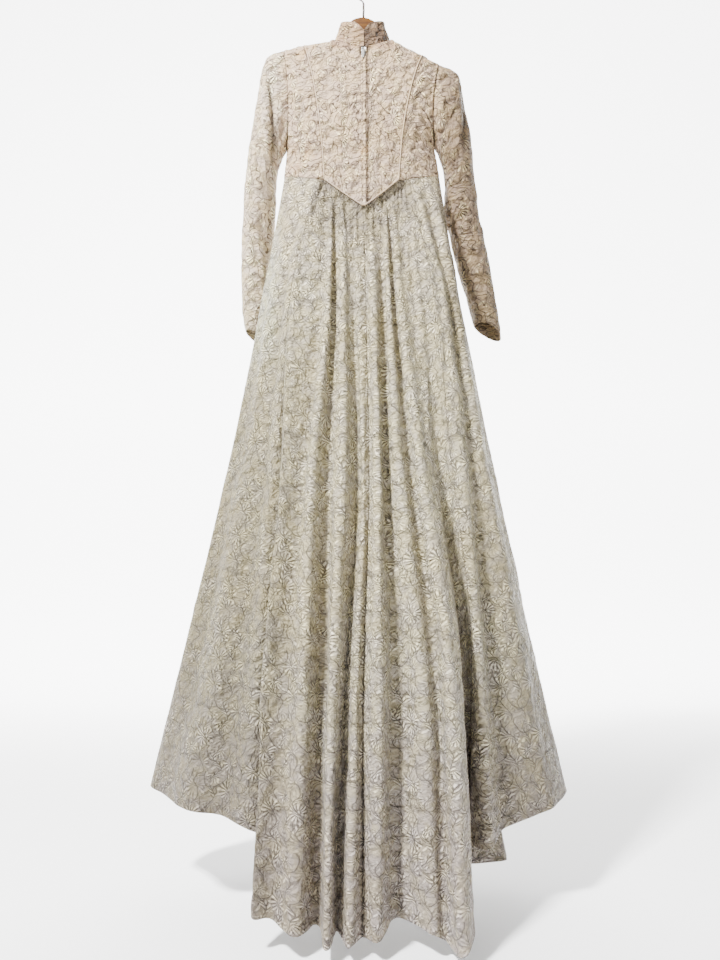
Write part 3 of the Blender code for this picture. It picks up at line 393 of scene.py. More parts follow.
bodiceValues = {
    "rows": 110, "rollPower": 1.5, "span": 0.17, "waistDip": 0.003, "creaseFade": 0.006,
    "swells": [(0.0007, 0.07, 0, 0.02, 1, 1), (0.0006, 0.024, 5, 0.01, 1, 1)],
    "pucker": {"size": 0.0014, "length": 0.026, "seed": 21, "fade": 0.012, "turn": (0.8, 0.6),
               "stretch": 1.8},
    # the cloth stands up beside the princess seams and the zip, in small ripples
    "ridge": {"size": 0.0010, "ripple": 0.0005, "length": 0.013, "place": 0.0038, "width": 0.0026},
    # painted shade in hollows, and painted shadow along the seams, the waist, beside the cords and under the
    # lap's free edge
    "hollow": (0.40, 0.0034), "seamLine": (0.8, 0.0006, 0.0010), "centreWaistLine": (0.8, 0.0004, 0.0012),
    "waistLine": (0.3, 0.0004, 0.0012), "cordLine": (0.75, 0.0023, 0.0015),
    "lapLine": (0.98, -0.0073, 0.0032),
}
bodiceTable = [
    # name, face, first and last place across, columns
    ("side_back_left", 1, 1.0, 0.5, 44),
    ("centre_back_left", 1, 0.5, 0.012, 64),
    ("centre_back_right", 1, -0.012, -0.5, 64),
    ("side_back_right", 1, -0.5, -1.0, 44),
    ("bodice_front", -1, -1.0, 1.0, 150),
]
# each crease: its path (x, z), its half width, its height, below nought for a trough
backCreases = [
    # pulls of the left side back, rising towards the princess seam
    ([(0.152, -0.399), (0.129, -0.381), (0.110, -0.367)], 0.007, -0.0026),
    ([(0.154, -0.430), (0.122, -0.412), (0.097, -0.396)], 0.007, -0.0028),
    ([(0.149, -0.456), (0.118, -0.447), (0.090, -0.432)], 0.006, -0.0020),
    ([(0.157, -0.352), (0.136, -0.334), (0.117, -0.321)], 0.007, -0.0026),
    ([(0.153, -0.305), (0.125, -0.285)], 0.006, -0.0020),
    ([(0.143, -0.416), (0.124, -0.438), (0.116, -0.465)], 0.006, 0.0018),
    ([(0.135, -0.350), (0.110, -0.332)], 0.006, 0.0018),
    ([(0.161, -0.376), (0.135, -0.367)], 0.006, 0.0020),
    ([(0.136, -0.269), (0.117, -0.300)], 0.007, -0.0016),
    ([(0.140, -0.225), (0.120, -0.250)], 0.009, 0.0016),
    # drag lines beside the right princess seam
    ([(-0.053, -0.431), (-0.070, -0.405), (-0.087, -0.374)], 0.006, -0.0030),
    ([(-0.045, -0.458), (-0.064, -0.436), (-0.081, -0.409)], 0.006, -0.0028),
    ([(-0.066, -0.391), (-0.083, -0.360), (-0.096, -0.329)], 0.006, -0.0024),
    ([(-0.034, -0.475), (-0.053, -0.458), (-0.072, -0.440)], 0.006, -0.0022),
    ([(-0.024, -0.418), (-0.043, -0.396)], 0.007, -0.0014),
    ([(-0.026, -0.351), (-0.047, -0.334)], 0.008, -0.0012),
    # spread from the collar seam
    ([(-0.016, -0.203), (-0.043, -0.194), (-0.071, -0.187)], 0.005, -0.0020),
    ([(-0.018, -0.221), (-0.056, -0.212)], 0.006, 0.0014),
    ([(0.136, -0.217), (0.098, -0.199), (0.068, -0.187)], 0.007, -0.0014),
    ([(0.089, -0.239), (0.055, -0.217)], 0.008, 0.0012),
    ([(0.029, -0.199), (0.049, -0.221)], 0.007, -0.0012),
    ([(0.061, -0.307), (0.040, -0.289)], 0.010, -0.0012),
    # the left centre back slackens above the waist
    ([(0.071, -0.418), (0.054, -0.451), (0.040, -0.484)], 0.007, -0.0018),
    ([(0.084, -0.440), (0.071, -0.466)], 0.006, 0.0014),
    # soft upright folds of the right side back
    ([(-0.098, -0.434), (-0.111, -0.394), (-0.122, -0.350)], 0.007, -0.0024),
    ([(-0.127, -0.465), (-0.140, -0.427), (-0.145, -0.394)], 0.006, -0.0030),
    ([(-0.087, -0.474), (-0.100, -0.447)], 0.006, 0.0016),
    ([(-0.134, -0.350), (-0.128, -0.305)], 0.007, -0.0016),
    ([(-0.113, -0.305), (-0.137, -0.287)], 0.007, 0.0016),
]
frontCreases = [
    ([(0.150, -0.400), (0.118, -0.385), (0.090, -0.360)], 0.010, -0.0030),
    ([(0.155, -0.360), (0.125, -0.335), (0.100, -0.300)], 0.010, 0.0026),
    ([(-0.142, -0.392), (-0.112, -0.376), (-0.085, -0.350)], 0.010, -0.0030),
    ([(-0.145, -0.350), (-0.118, -0.325), (-0.095, -0.290)], 0.010, 0.0026),
    ([(0.020, -0.440), (0.030, -0.360), (0.024, -0.280)], 0.016, -0.0026),
    ([(-0.045, -0.445), (-0.052, -0.370), (-0.044, -0.300)], 0.014, 0.0028),
    ([(0.085, -0.445), (0.092, -0.400)], 0.010, 0.0024),
    ([(-0.100, -0.445), (-0.104, -0.405)], 0.009, -0.0024),
    ([(0.060, -0.200), (0.095, -0.215)], 0.009, -0.0020),
    ([(-0.058, -0.205), (-0.090, -0.222)], 0.009, -0.0020),
]


def makeBodice(name, face, first, last, columns, creases, materials):
    v = bodiceValues
    places = withEdges(list(np.linspace(first, last, columns)), abs(last - first) * v["span"])
    # rows from the waist to the top, closer together where the cloth rolls over the shoulder
    rises = 1 - (1 - np.linspace(0, 1, v["rows"])) ** v["rollPower"]
    points = bodicePoint(places[None, :], rises[:, None], face)
    normals, outward = faceOut(points, (0, face, 0))
    inmost = int(np.argmin(np.abs(places)))
    across, up = flatPlaces(points, inmost)
    uvs = np.stack([across, points[..., 2]], axis=-1)
    edge = np.minimum(across - across[:, :1], across[:, -1:] - across)
    height = -clothValues["seamDip"] * (bell(edge, clothValues["seamWidth"]) + bell(up, v["waistDip"]))
    height = height + creaseHeight(points, creases) * smooth(edge / v["creaseFade"])
    height = height + swellHeight(v["swells"], across, up, edge, len(name))
    if name.startswith("side"):
        # the narrow side panels are pulled into short slanting puckers
        lean = 1 if name.endswith("left") else -1
        p = v["pucker"]
        c, s = p["turn"]
        slant = softWaves(across * c + lean * up * s, (up * c - lean * across * s) * p["stretch"],
                          p["length"], p["seed"])
        height = height + p["size"] * slant * smooth(edge / p["fade"])
    if face > 0:
        r = v["ridge"]
        ripple = softWaves(edge * 0.3, up, r["length"], len(name) + 9)
        height = height + (r["size"] + r["ripple"] * ripple) * bell(edge - r["place"], r["width"])
    centre = name.startswith("centre")
    # painted shade in the hollows, and painted shadow along the seams, the waist and beside the cords
    share, deep = v["hollow"]
    shades = [share * hollowShade(height, deep), lineShade(edge, v["seamLine"]),
              lineShade(up, v["centreWaistLine" if centre else "waistLine"])]
    if face > 0 and not centre:
        shades.append(lineShade(np.abs(across - across[:, inmost][:, None]), v["cordLine"]))
    if name == "centre_back_right":
        # shadow and soil under the free edge of the lap
        shades.append(lineShade(points[..., 0], v["lapLine"]))
    return sewPanel(name, points, normals, height, uvs, outward, materials,
                    np.maximum.reduce(shades))


# Sleeves

sleeveColumns = ("innerX", "innerZ", "outerX", "outerZ", "midY", "halfDepth")
sleeveTables = {
    "left": [
        (0.1715, -0.3890, 0.2127, -0.1700, 0.000, 0.035),
        (0.1755, -0.3950, 0.2256, -0.2097, 0.000, 0.039),
        (0.1795, -0.4020, 0.2337, -0.2685, 0.000, 0.041),
        (0.1855, -0.4160, 0.2480, -0.3515, -0.006, 0.043),
        (0.1940, -0.4520, 0.2620, -0.4520, -0.020, 0.040),
        (0.1980, -0.5300, 0.2675, -0.5300, -0.036, 0.037),
        (0.2060, -0.6090, 0.2730, -0.6090, -0.052, 0.034),
        (0.2120, -0.6980, 0.2740, -0.6980, -0.068, 0.031),
        (0.2100, -0.7720, 0.2650, -0.7640, -0.074, 0.027),
    ],
    "right": [
        (-0.1565, -0.3790, -0.2050, -0.2097, 0.000, 0.035),
        (-0.1600, -0.3850, -0.2160, -0.2400, 0.000, 0.039),
        (-0.1640, -0.3920, -0.2200, -0.2685, 0.000, 0.041),
        (-0.1710, -0.4070, -0.2343, -0.3515, -0.008, 0.043),
        (-0.1826, -0.4520, -0.2480, -0.4520, -0.026, 0.040),
        (-0.1790, -0.5210, -0.2580, -0.5210, -0.040, 0.037),
        (-0.1900, -0.5455, -0.2645, -0.5455, -0.043, 0.036),
        (-0.2006, -0.5970, -0.2745, -0.5970, -0.046, 0.034),
        (-0.2266, -0.6850, -0.2936, -0.6850, -0.050, 0.031),
        (-0.2463, -0.7560, -0.3050, -0.7490, -0.052, 0.027),
    ],
}
sleeveValues = {
    "rows": 170, "columns": 104, "gap": 0.0003, "underarmClear": 0.0024,
    "underShare": 0.25, "creaseDepth": 1.4,
    "cuff": {"left": (0.040, 150.0), "right": (0.046, 18.0)}, "cuffBase": 0.15, "cuffPower": 1.5,
    "capPower": 1.25, "capShare": 0.3, "turnOver": 0.012,
    "swells": [(0.0012, 0.09, 7, 0.04, 1, 1), (0.0007, 0.028, 2, 0.02, 1, 1)],
    "seamDip": (0.0009, 0.0, 0.0025), "hemDip": (0.0004, 0.007, 0.0014),
    # painted shade in the hollows and painted shadow along the armhole seam; darker adds painted shade all
    # over the right sleeve
    "hollow": (0.62, 0.0060, 0.0008), "seamLine": (0.4, 0.0004, 0.0012),
    "darker": {"left": 0.0, "right": 0.34},
}
sleeveCreases = {
    "left": {
        "back": [
            ([(0.215, -0.205), (0.203, -0.258), (0.195, -0.331), (0.195, -0.395), (0.198, -0.459)],
             0.007, -0.0065),
            ([(0.224, -0.215), (0.213, -0.262), (0.207, -0.331), (0.208, -0.395), (0.211, -0.450)],
             0.008, 0.0030),
            ([(0.165, -0.325), (0.182, -0.363), (0.192, -0.413)], 0.008, -0.0040),
            ([(0.175, -0.193), (0.197, -0.216), (0.209, -0.235)], 0.006, -0.0030),
            ([(0.175, -0.395), (0.186, -0.429), (0.194, -0.454)], 0.006, 0.0030),
            ([(0.231, -0.281), (0.234, -0.372), (0.237, -0.452)], 0.010, -0.0024),
            ([(0.220, -0.463), (0.223, -0.530), (0.218, -0.597)], 0.010, -0.0022),
            ([(0.251, -0.500), (0.236, -0.519), (0.225, -0.548), (0.210, -0.579)], 0.007, -0.0026),
            ([(0.256, -0.545), (0.244, -0.564), (0.231, -0.597), (0.214, -0.624)], 0.007, 0.0024),
            ([(0.258, -0.600), (0.240, -0.625), (0.224, -0.650)], 0.007, -0.0024),
            ([(0.262, -0.630), (0.243, -0.646), (0.226, -0.672), (0.215, -0.712)], 0.007, 0.0022),
            ([(0.262, -0.690), (0.249, -0.707), (0.232, -0.734)], 0.007, -0.0022),
        ],
        "front": [
            ([(0.205, -0.240), (0.225, -0.300), (0.232, -0.380)], 0.010, -0.0045),
            ([(0.185, -0.330), (0.205, -0.370), (0.222, -0.430)], 0.010, 0.0035),
            ([(0.205, -0.470), (0.230, -0.500), (0.255, -0.515)], 0.009, -0.0040),
            ([(0.208, -0.500), (0.232, -0.535), (0.256, -0.555)], 0.009, 0.0032),
            ([(0.212, -0.560), (0.236, -0.590), (0.258, -0.600)], 0.009, -0.0032),
            ([(0.225, -0.640), (0.240, -0.690), (0.244, -0.745)], 0.009, -0.0024),
        ],
    },
    "right": {
        "back": [
            ([(-0.206, -0.244), (-0.182, -0.281), (-0.153, -0.338)], 0.009, 0.0050),
            ([(-0.194, -0.219), (-0.176, -0.233), (-0.158, -0.249)], 0.006, -0.0036),
            ([(-0.210, -0.299), (-0.184, -0.336), (-0.151, -0.379)], 0.009, -0.0055),
            ([(-0.215, -0.244), (-0.219, -0.304), (-0.216, -0.361), (-0.209, -0.411)], 0.007, -0.0045),
            ([(-0.163, -0.216), (-0.181, -0.209), (-0.196, -0.214)], 0.005, -0.0024),
            ([(-0.160, -0.262), (-0.176, -0.252), (-0.200, -0.232)], 0.006, 0.0026),
            ([(-0.179, -0.535), (-0.192, -0.542), (-0.207, -0.539)], 0.006, -0.0040),
            ([(-0.179, -0.539), (-0.194, -0.575), (-0.211, -0.610)], 0.007, -0.0034),
            ([(-0.186, -0.520), (-0.210, -0.523), (-0.232, -0.512)], 0.008, 0.0030),
            ([(-0.187, -0.395), (-0.208, -0.452), (-0.221, -0.508)], 0.011, -0.0024),
            ([(-0.173, -0.420), (-0.190, -0.470), (-0.196, -0.510)], 0.008, 0.0022),
            ([(-0.173, -0.486), (-0.186, -0.519)], 0.006, -0.0024),
            ([(-0.196, -0.619), (-0.210, -0.674), (-0.226, -0.729)], 0.008, -0.0024),
            ([(-0.227, -0.663), (-0.243, -0.729)], 0.008, 0.0022),
            ([(-0.214, -0.640), (-0.246, -0.655)], 0.008, -0.0020),
            ([(-0.240, -0.750), (-0.262, -0.770), (-0.284, -0.774)], 0.006, -0.0022),
        ],
        "front": [
            ([(-0.195, -0.270), (-0.214, -0.320), (-0.222, -0.390)], 0.010, -0.0045),
            ([(-0.172, -0.340), (-0.190, -0.390), (-0.206, -0.440)], 0.010, 0.0035),
            ([(-0.190, -0.500), (-0.215, -0.525), (-0.240, -0.530)], 0.009, -0.0040),
            ([(-0.194, -0.530), (-0.222, -0.560), (-0.250, -0.570)], 0.009, 0.0032),
            ([(-0.205, -0.580), (-0.232, -0.605), (-0.258, -0.610)], 0.009, -0.0032),
            ([(-0.236, -0.650), (-0.256, -0.700), (-0.266, -0.740)], 0.009, -0.0024),
        ],
    },
}


def armholePoint(name, turn):
    side = bodySides[name]
    sign = 1.0 if name == "left" else -1.0
    share = (1 - np.cos(turn)) / 2
    low = (side["underZ"] - bodyValues["waistZ"]) / (side["shoulderZ"] - bodyValues["waistZ"])
    rise = mix(low, 1.0, share)
    back, front = bodicePoint(sign, rise, 1), bodicePoint(sign, rise, -1)
    point = np.where((np.sin(turn) >= 0)[:, None], back, front)
    under = 1 - smooth(share / sleeveValues["underShare"])
    point[:, 0] += sign * (sleeveValues["gap"] + sleeveValues["underarmClear"] * under)
    return point


def sleevePoint(name, turn, level):
    share = (1 - np.cos(turn)) / 2
    rings = [armholePoint(name, turn)]
    for row in sleeveTables[name]:
        s = dict(zip(sleeveColumns, row))
        rings.append(np.stack([mix(s["innerX"], s["outerX"], share),
                               s["midY"] + s["halfDepth"] * np.sin(turn),
                               mix(s["innerZ"], s["outerZ"], share)], axis=-1))
    rings = np.stack(rings)
    points = hermite(range(len(rings)), rings.reshape(len(rings), -1), level).reshape(-1, len(turn), 3)
    # the cuff runs out to a point on the side that it aims at
    length, aimTurn = sleeveValues["cuff"][name]
    reach = smooth((level - (len(rings) - 3)) / 2)[:, None]
    aim = (1 + np.cos(turn - math.radians(aimTurn) - math.pi)) / 2
    points[..., 2] -= length * reach * mix(sleeveValues["cuffBase"], 1.0, aim ** sleeveValues["cuffPower"])
    return points


def makeSleeve(name, creases, materials):
    v = sleeveValues
    turn = np.arange(v["columns"]) * 2 * math.pi / v["columns"]
    share = np.linspace(0, 1, v["rows"])
    points = sleevePoint(name, turn, len(sleeveTables[name]) * mix(share ** v["capPower"], share, 0.5))
    fromMiddle = points - points.mean(axis=1, keepdims=True)
    normals, outward = faceOut(points, fromMiddle, closed=True)
    ring = np.concatenate([points, points[:, :1]], axis=1)
    outer = v["columns"] // 2
    across, down = [places[:, :-1] for places in flatPlaces(ring, outer)]
    # the pattern hangs straight, so over the cap it is laid out by the distance level from the outer line
    level, _ = flatPlaces(ring * np.array([1.0, 1.0, v["capShare"]]), outer)
    level = level + np.sign(level) * (np.abs(ring[:, outer, 0]).max() - np.abs(ring[:, outer:outer + 1, 0]))
    uvs = np.stack([level, -ring[..., 2]], axis=-1)
    behind = smooth(fromMiddle[..., 1] / v["turnOver"])
    height = creaseHeight(points, creases["back"]) * behind * v["creaseDepth"]
    height = height + creaseHeight(points, creases["front"]) * (1 - behind)
    height = height + swellHeight(v["swells"], across, down, down, len(name))
    height = height - lineShade(down, v["seamDip"]) - lineShade(down[-1:] - down, v["hemDip"])
    share, deep, lift = v["hollow"]
    shade = np.maximum(share * hollowShade(height + lift, deep), lineShade(down, v["seamLine"]))
    # painted shade over the whole right sleeve
    shade = np.clip(shade + v["darker"][name], 0, 1)
    return sewPanel("sleeve_" + name, points, normals, height, uvs, outward, materials, shade,
                    closed=True)


# Collar

collarValues = {
    "sideZ": -0.094, "backZ": -0.113, "frontZ": -0.140, "notch": 0.016, "notchReach": 24, "topPower": 1.5,
    "taper": 0.80, "taperShares": (0.35, 0.65), "seamGap": 0.0006,
    "lapTurn": 15.0, "overTurn": 1.0, "columns": 210, "rows": 26, "underDepth": 0.0022, "underEnd": 105,
    "swells": [(0.0010, 0.05, 3, 0.01, 1, 1)], "creaseFade": 0.006,
    "seamDip": (0.0005, 0.0, 0.0016), "hemDip": (0.0003, 0.004, 0.0009),
    # painted shade in the folds and painted shadow along the seam; least is painted shade over the whole band
    "hollow": (0.55, 0.0020), "seamLine": (0.9, 0.0003, 0.0010), "least": 0.10,
    # the right half lies in the shadow of the left end that laps over it, in streaks
    "shadow": {"end": 150, "fade": 50, "mean": 0.74, "streak": 0.24, "length": 0.013, "seed": 8, "edge": 0.25,
               "edgeTurn": 7.0},
}
collarCreases = [
    ([(-0.010, -0.122), (-0.015, -0.168)], 0.0040, -0.0016),
    ([(-0.020, -0.114), (-0.026, -0.162)], 0.0040, 0.0016),
    ([(-0.031, -0.106), (-0.037, -0.152)], 0.0045, -0.0018),
    ([(-0.043, -0.102), (-0.050, -0.146)], 0.0050, 0.0015),
    ([(0.025, -0.116), (0.034, -0.137), (0.029, -0.162)], 0.0050, -0.0018),
    ([(0.012, -0.148), (0.023, -0.166)], 0.0045, -0.0014),
    ([(0.041, -0.108), (0.047, -0.150)], 0.0070, 0.0012),
]


def collarPoint(turn, rise):
    v = collarValues
    sign = np.where(np.cos(turn) >= 0, 1.0, -1.0)
    reach = np.abs(np.cos(turn))
    back = np.sin(turn) >= 0
    half = sided("neckX", sign)
    backY, backZ = neckRing(sign * half * reach, 1)
    frontY, frontZ = neckRing(sign * half * reach, -1)
    baseY, baseZ = np.where(back, backY, frontY), np.where(back, backZ, frontZ)
    endZ = np.where(back, v["backZ"], v["frontZ"])
    topZ = mix(v["sideZ"], endZ, np.abs(np.sin(turn)) ** v["topPower"])
    opening = np.abs(np.degrees(turn) - 90)
    opening = np.minimum(opening, 360 - opening)
    topZ = topZ - v["notch"] * np.maximum(1 - opening / v["notchReach"], 0) ** v["topPower"]
    early, even = v["taperShares"]
    taper = mix(1.0, v["taper"], smooth(rise) * early + rise * even)
    z = mix(baseZ + v["seamGap"], topZ, rise)
    return np.stack([sign * half * reach * taper, baseY * taper, z], axis=-1)


def makeCollar(materials):
    v = collarValues
    degrees = np.linspace(90 - v["lapTurn"], 450 + v["overTurn"], v["columns"])
    degrees, rise = np.broadcast_arrays(degrees[None, :], np.linspace(0, 1, v["rows"])[:, None])
    points = collarPoint(np.radians(degrees), rise)
    normals, outward = faceOut(points, (points - points.mean(axis=(0, 1))) * (1, 1, 0))
    across, up = flatPlaces(points)
    folds = creaseHeight(points, collarCreases) * (points[..., 1] > 0)
    height = -v["underDepth"] * smooth((v["underEnd"] - degrees) / v["lapTurn"])
    height = height + swellHeight(v["swells"], across, up, up, 0)
    height = height - lineShade(up, v["seamDip"]) - lineShade(up[-1:] - up, v["hemDip"])
    height = height + folds * smooth(up / v["creaseFade"])
    # painted shade in the folds, along the seam and over the whole band, with painted shadow in streaks over
    # the right half
    share, deep = v["hollow"]
    shade = np.maximum(share * hollowShade(folds, deep), lineShade(up, v["seamLine"]))
    s = v["shadow"]
    streaks = s["mean"] + s["streak"] * softWaves(across, up * 0.25, s["length"], s["seed"])
    streaks = streaks + s["edge"] * bell(degrees - 90 - v["overTurn"], s["edgeTurn"])
    turned = 1 - smooth((degrees - s["end"]) / s["fade"])
    shade = np.clip(np.maximum(shade, v["least"]) + turned * streaks, 0, 1)
    uvs = np.stack([across, up], axis=-1)
    return sewPanel("collar_band", points, normals, height, uvs, outward, materials, shade)


# Skirt

skirtLevels = (0.0, 0.2, 0.45, 0.7, 1.0)
# name, x at the five levels, y half way down and at the hem, the hem's height
skirtFolds = [
    ("side_left", 0.173, 0.216, 0.275, 0.345, 0.434, 0.000, 0.000, -1.735),
    ("trough_left", 0.158, 0.204, 0.254, 0.314, 0.398, 0.030, 0.044, -1.740),
    ("swell_left", 0.139, 0.189, 0.226, 0.272, 0.332, 0.064, 0.100, -1.748),
    ("dip_left", 0.120, 0.172, 0.198, 0.232, 0.272, 0.086, 0.110, -1.755),
    ("inner_left", 0.104, 0.157, 0.176, 0.196, 0.214, 0.118, 0.150, -1.765),
    ("tuck_left", 0.097, 0.150, 0.162, 0.166, 0.152, 0.118, 0.130, -1.800),
    ("edge_left", 0.0836, 0.143, 0.157, 0.180, 0.190, 0.148, 0.246, -1.872),
    ("valley_1", 0.076, 0.090, 0.121, 0.143, 0.162, 0.138, 0.242, -1.876),
    ("ridge_1", 0.067, 0.073, 0.100, 0.108, 0.117, 0.160, 0.268, -1.890),
    ("valley_2", 0.059, 0.062, 0.070, 0.076, 0.083, 0.136, 0.228, -1.893),
    ("ridge_2", 0.048, 0.042, 0.043, 0.057, 0.063, 0.168, 0.286, -1.902),
    ("valley_3", 0.033, 0.020, 0.013, 0.034, 0.047, 0.134, 0.232, -1.900),
    ("ridge_3", 0.018, 0.009, 0.002, 0.015, 0.027, 0.156, 0.281, -1.902),
    ("centre_back", 0.000, -0.005, -0.009, 0.002, 0.004, 0.148, 0.250, -1.900),
    ("ridge_4", -0.013, -0.020, -0.025, -0.024, -0.020, 0.172, 0.272, -1.897),
    ("valley_4", -0.034, -0.040, -0.043, -0.055, -0.055, 0.140, 0.222, -1.885),
    ("ridge_5", -0.044, -0.051, -0.068, -0.101, -0.113, 0.164, 0.262, -1.890),
    ("valley_5", -0.052, -0.062, -0.092, -0.128, -0.133, 0.146, 0.258, -1.902),
    ("ridge_6", -0.060, -0.075, -0.112, -0.150, -0.157, 0.166, 0.300, -1.905),
    ("edge_right", -0.074, -0.096, -0.134, -0.173, -0.181, 0.142, 0.266, -1.885),
    ("tuck_right", -0.081, -0.113, -0.145, -0.180, -0.171, 0.106, 0.078, -1.866),
    ("flap_right", -0.087, -0.124, -0.152, -0.188, -0.268, 0.104, 0.080, -1.850),
    ("flap_right_2", -0.091, -0.134, -0.160, -0.194, -0.267, 0.109, 0.093, -1.840),
    ("tuck_right_2", -0.096, -0.144, -0.170, -0.202, -0.194, 0.116, 0.124, -1.806),
    ("ridge_7", -0.106, -0.162, -0.190, -0.212, -0.222, 0.114, 0.166, -1.792),
    ("valley_7", -0.123, -0.178, -0.215, -0.238, -0.264, 0.088, 0.122, -1.775),
    ("ridge_8", -0.140, -0.189, -0.236, -0.288, -0.354, 0.074, 0.088, -1.750),
    ("rim_right", -0.155, -0.198, -0.252, -0.311, -0.390, 0.036, 0.046, -1.745),
    ("side_right", -0.165, -0.204, -0.264, -0.326, -0.410, 0.000, 0.000, -1.742),
    ("front_1", -0.152, -0.195, -0.248, -0.306, -0.383, -0.045, -0.068, -1.735),
    ("front_2", -0.127, -0.165, -0.204, -0.250, -0.315, -0.076, -0.095, -1.730),
    ("front_3", -0.095, -0.125, -0.155, -0.187, -0.236, -0.114, -0.165, -1.728),
    ("front_4", -0.062, -0.084, -0.100, -0.118, -0.150, -0.104, -0.130, -1.725),
    ("front_5", -0.030, -0.042, -0.050, -0.058, -0.073, -0.124, -0.178, -1.727),
    ("front_6", 0.004, 0.004, 0.005, 0.006, 0.008, -0.114, -0.146, -1.725),
    ("front_7", 0.038, 0.050, 0.060, 0.072, 0.090, -0.125, -0.182, -1.727),
    ("front_8", 0.070, 0.092, 0.112, 0.134, 0.168, -0.102, -0.128, -1.725),
    ("front_9", 0.102, 0.134, 0.166, 0.202, 0.252, -0.112, -0.160, -1.728),
    ("front_10", 0.134, 0.172, 0.216, 0.266, 0.334, -0.072, -0.092, -1.730),
    ("front_11", 0.160, 0.204, 0.258, 0.322, 0.404, -0.042, -0.064, -1.733),
]
# node, first and last fold line, the fold line from which the pattern is laid out
skirtPanels = [
    ("skirt_side_left", "side_left", "tuck_left", "swell_left"),
    ("train_left", "tuck_left", "centre_back", "centre_back"),
    ("train_right", "centre_back", "tuck_right_2", "centre_back"),
    ("skirt_side_right", "tuck_right_2", "side_right", "ridge_8"),
    ("skirt_front", "side_right", "side_left", "front_6"),
]
skirtValues = {
    "rows": 180, "rowPower": 1.12, "cell": 0.006, "leastCells": 5, "backFolds": 28, "seamRest": 0.0003,
    "gatherDrop": 0.03, "hemFrom": 0.988, "topRows": (0.001, 0.0025),
    "hemRows": (0.0, 0.0009, 0.0018, 0.003, 0.0042, 0.0052, 0.0062, 0.0075, 0.0095),
    "creaseFade": 0.03, "sideFade": 0.012, "gatherDip": (0.0012, 0.001, 0.0022),
    "hemDip": (0.0006, 0.008, 0.0014),
    "swells": [(0.0022, 0.16, 0, 0.15, 1, 1), (0.0010, 0.055, 3, 0.06, 1, 0.7),
               (0.0007, 0.026, 4, 0.03, 0.8, 1)],
    # painted shadow along the seam, under the waist cord and at the panels' sides; painted shade in the
    # gathers, the hollows and along the creases
    "seamLine": (0.3, 0.0006, 0.0014), "gatherLine": (0.9, 0.0028, 0.0025), "gatherHollow": (0.45, 0.0014),
    "hollow": (0.2, 0.0070), "crease": 0.42, "sideLine": (0.55, 0.0005, 0.0012),
}
# least and most of each gather: share of the full size and length, half width, lean, spacing in half widths
gatherValues = {
    "full": 0.0058, "fullLength": 0.170, "size": (0.5, 1.0), "length": (0.35, 1.0), "half": (0.0030, 0.0052),
    "lean": (-0.12, 0.12), "spacing": (2.1, 3.0), "start": 0.004, "end": 0.003, "grow": 0.012, "mean": 0.25,
}
foldNames = [row[0] for row in skirtFolds]
# how far a fold line's crest stands out or its hollow sinks beyond the panel's own form, half its width,
# and how sharply the cloth is creased along it, which also sets the painted shade in the crease
foldAccents = {
    "trough_left": (-0.004, 0.022, 0.1), "swell_left": (0.003, 0.030, 0), "dip_left": (-0.005, 0.020, 0.2),
    "valley_1": (-0.005, 0.010, 0.4), "ridge_1": (0.004, 0.010, 0), "valley_2": (-0.004, 0.010, 0.9),
    "ridge_2": (0.004, 0.012, 0), "valley_3": (0.002, 0.008, 1.0), "ridge_3": (0.002, 0.009, 0),
    "ridge_4": (0.004, 0.012, 0), "valley_4": (-0.004, 0.012, 0.45), "ridge_5": (0.004, 0.012, 0),
    "valley_5": (-0.004, 0.008, 0.5), "ridge_6": (0.004, 0.012, 0), "ridge_7": (0.004, 0.010, 0),
    "valley_7": (-0.006, 0.012, 0.35), "ridge_8": (0.004, 0.016, 0),
    "front_2": (-0.005, 0.018, 0.2), "front_3": (0.004, 0.018, 0), "front_4": (-0.006, 0.016, 0.4),
    "front_5": (0.004, 0.018, 0), "front_6": (-0.006, 0.016, 0.4), "front_7": (0.004, 0.018, 0),
    "front_8": (-0.006, 0.016, 0.4), "front_9": (0.004, 0.018, 0), "front_10": (-0.005, 0.018, 0.2),
}
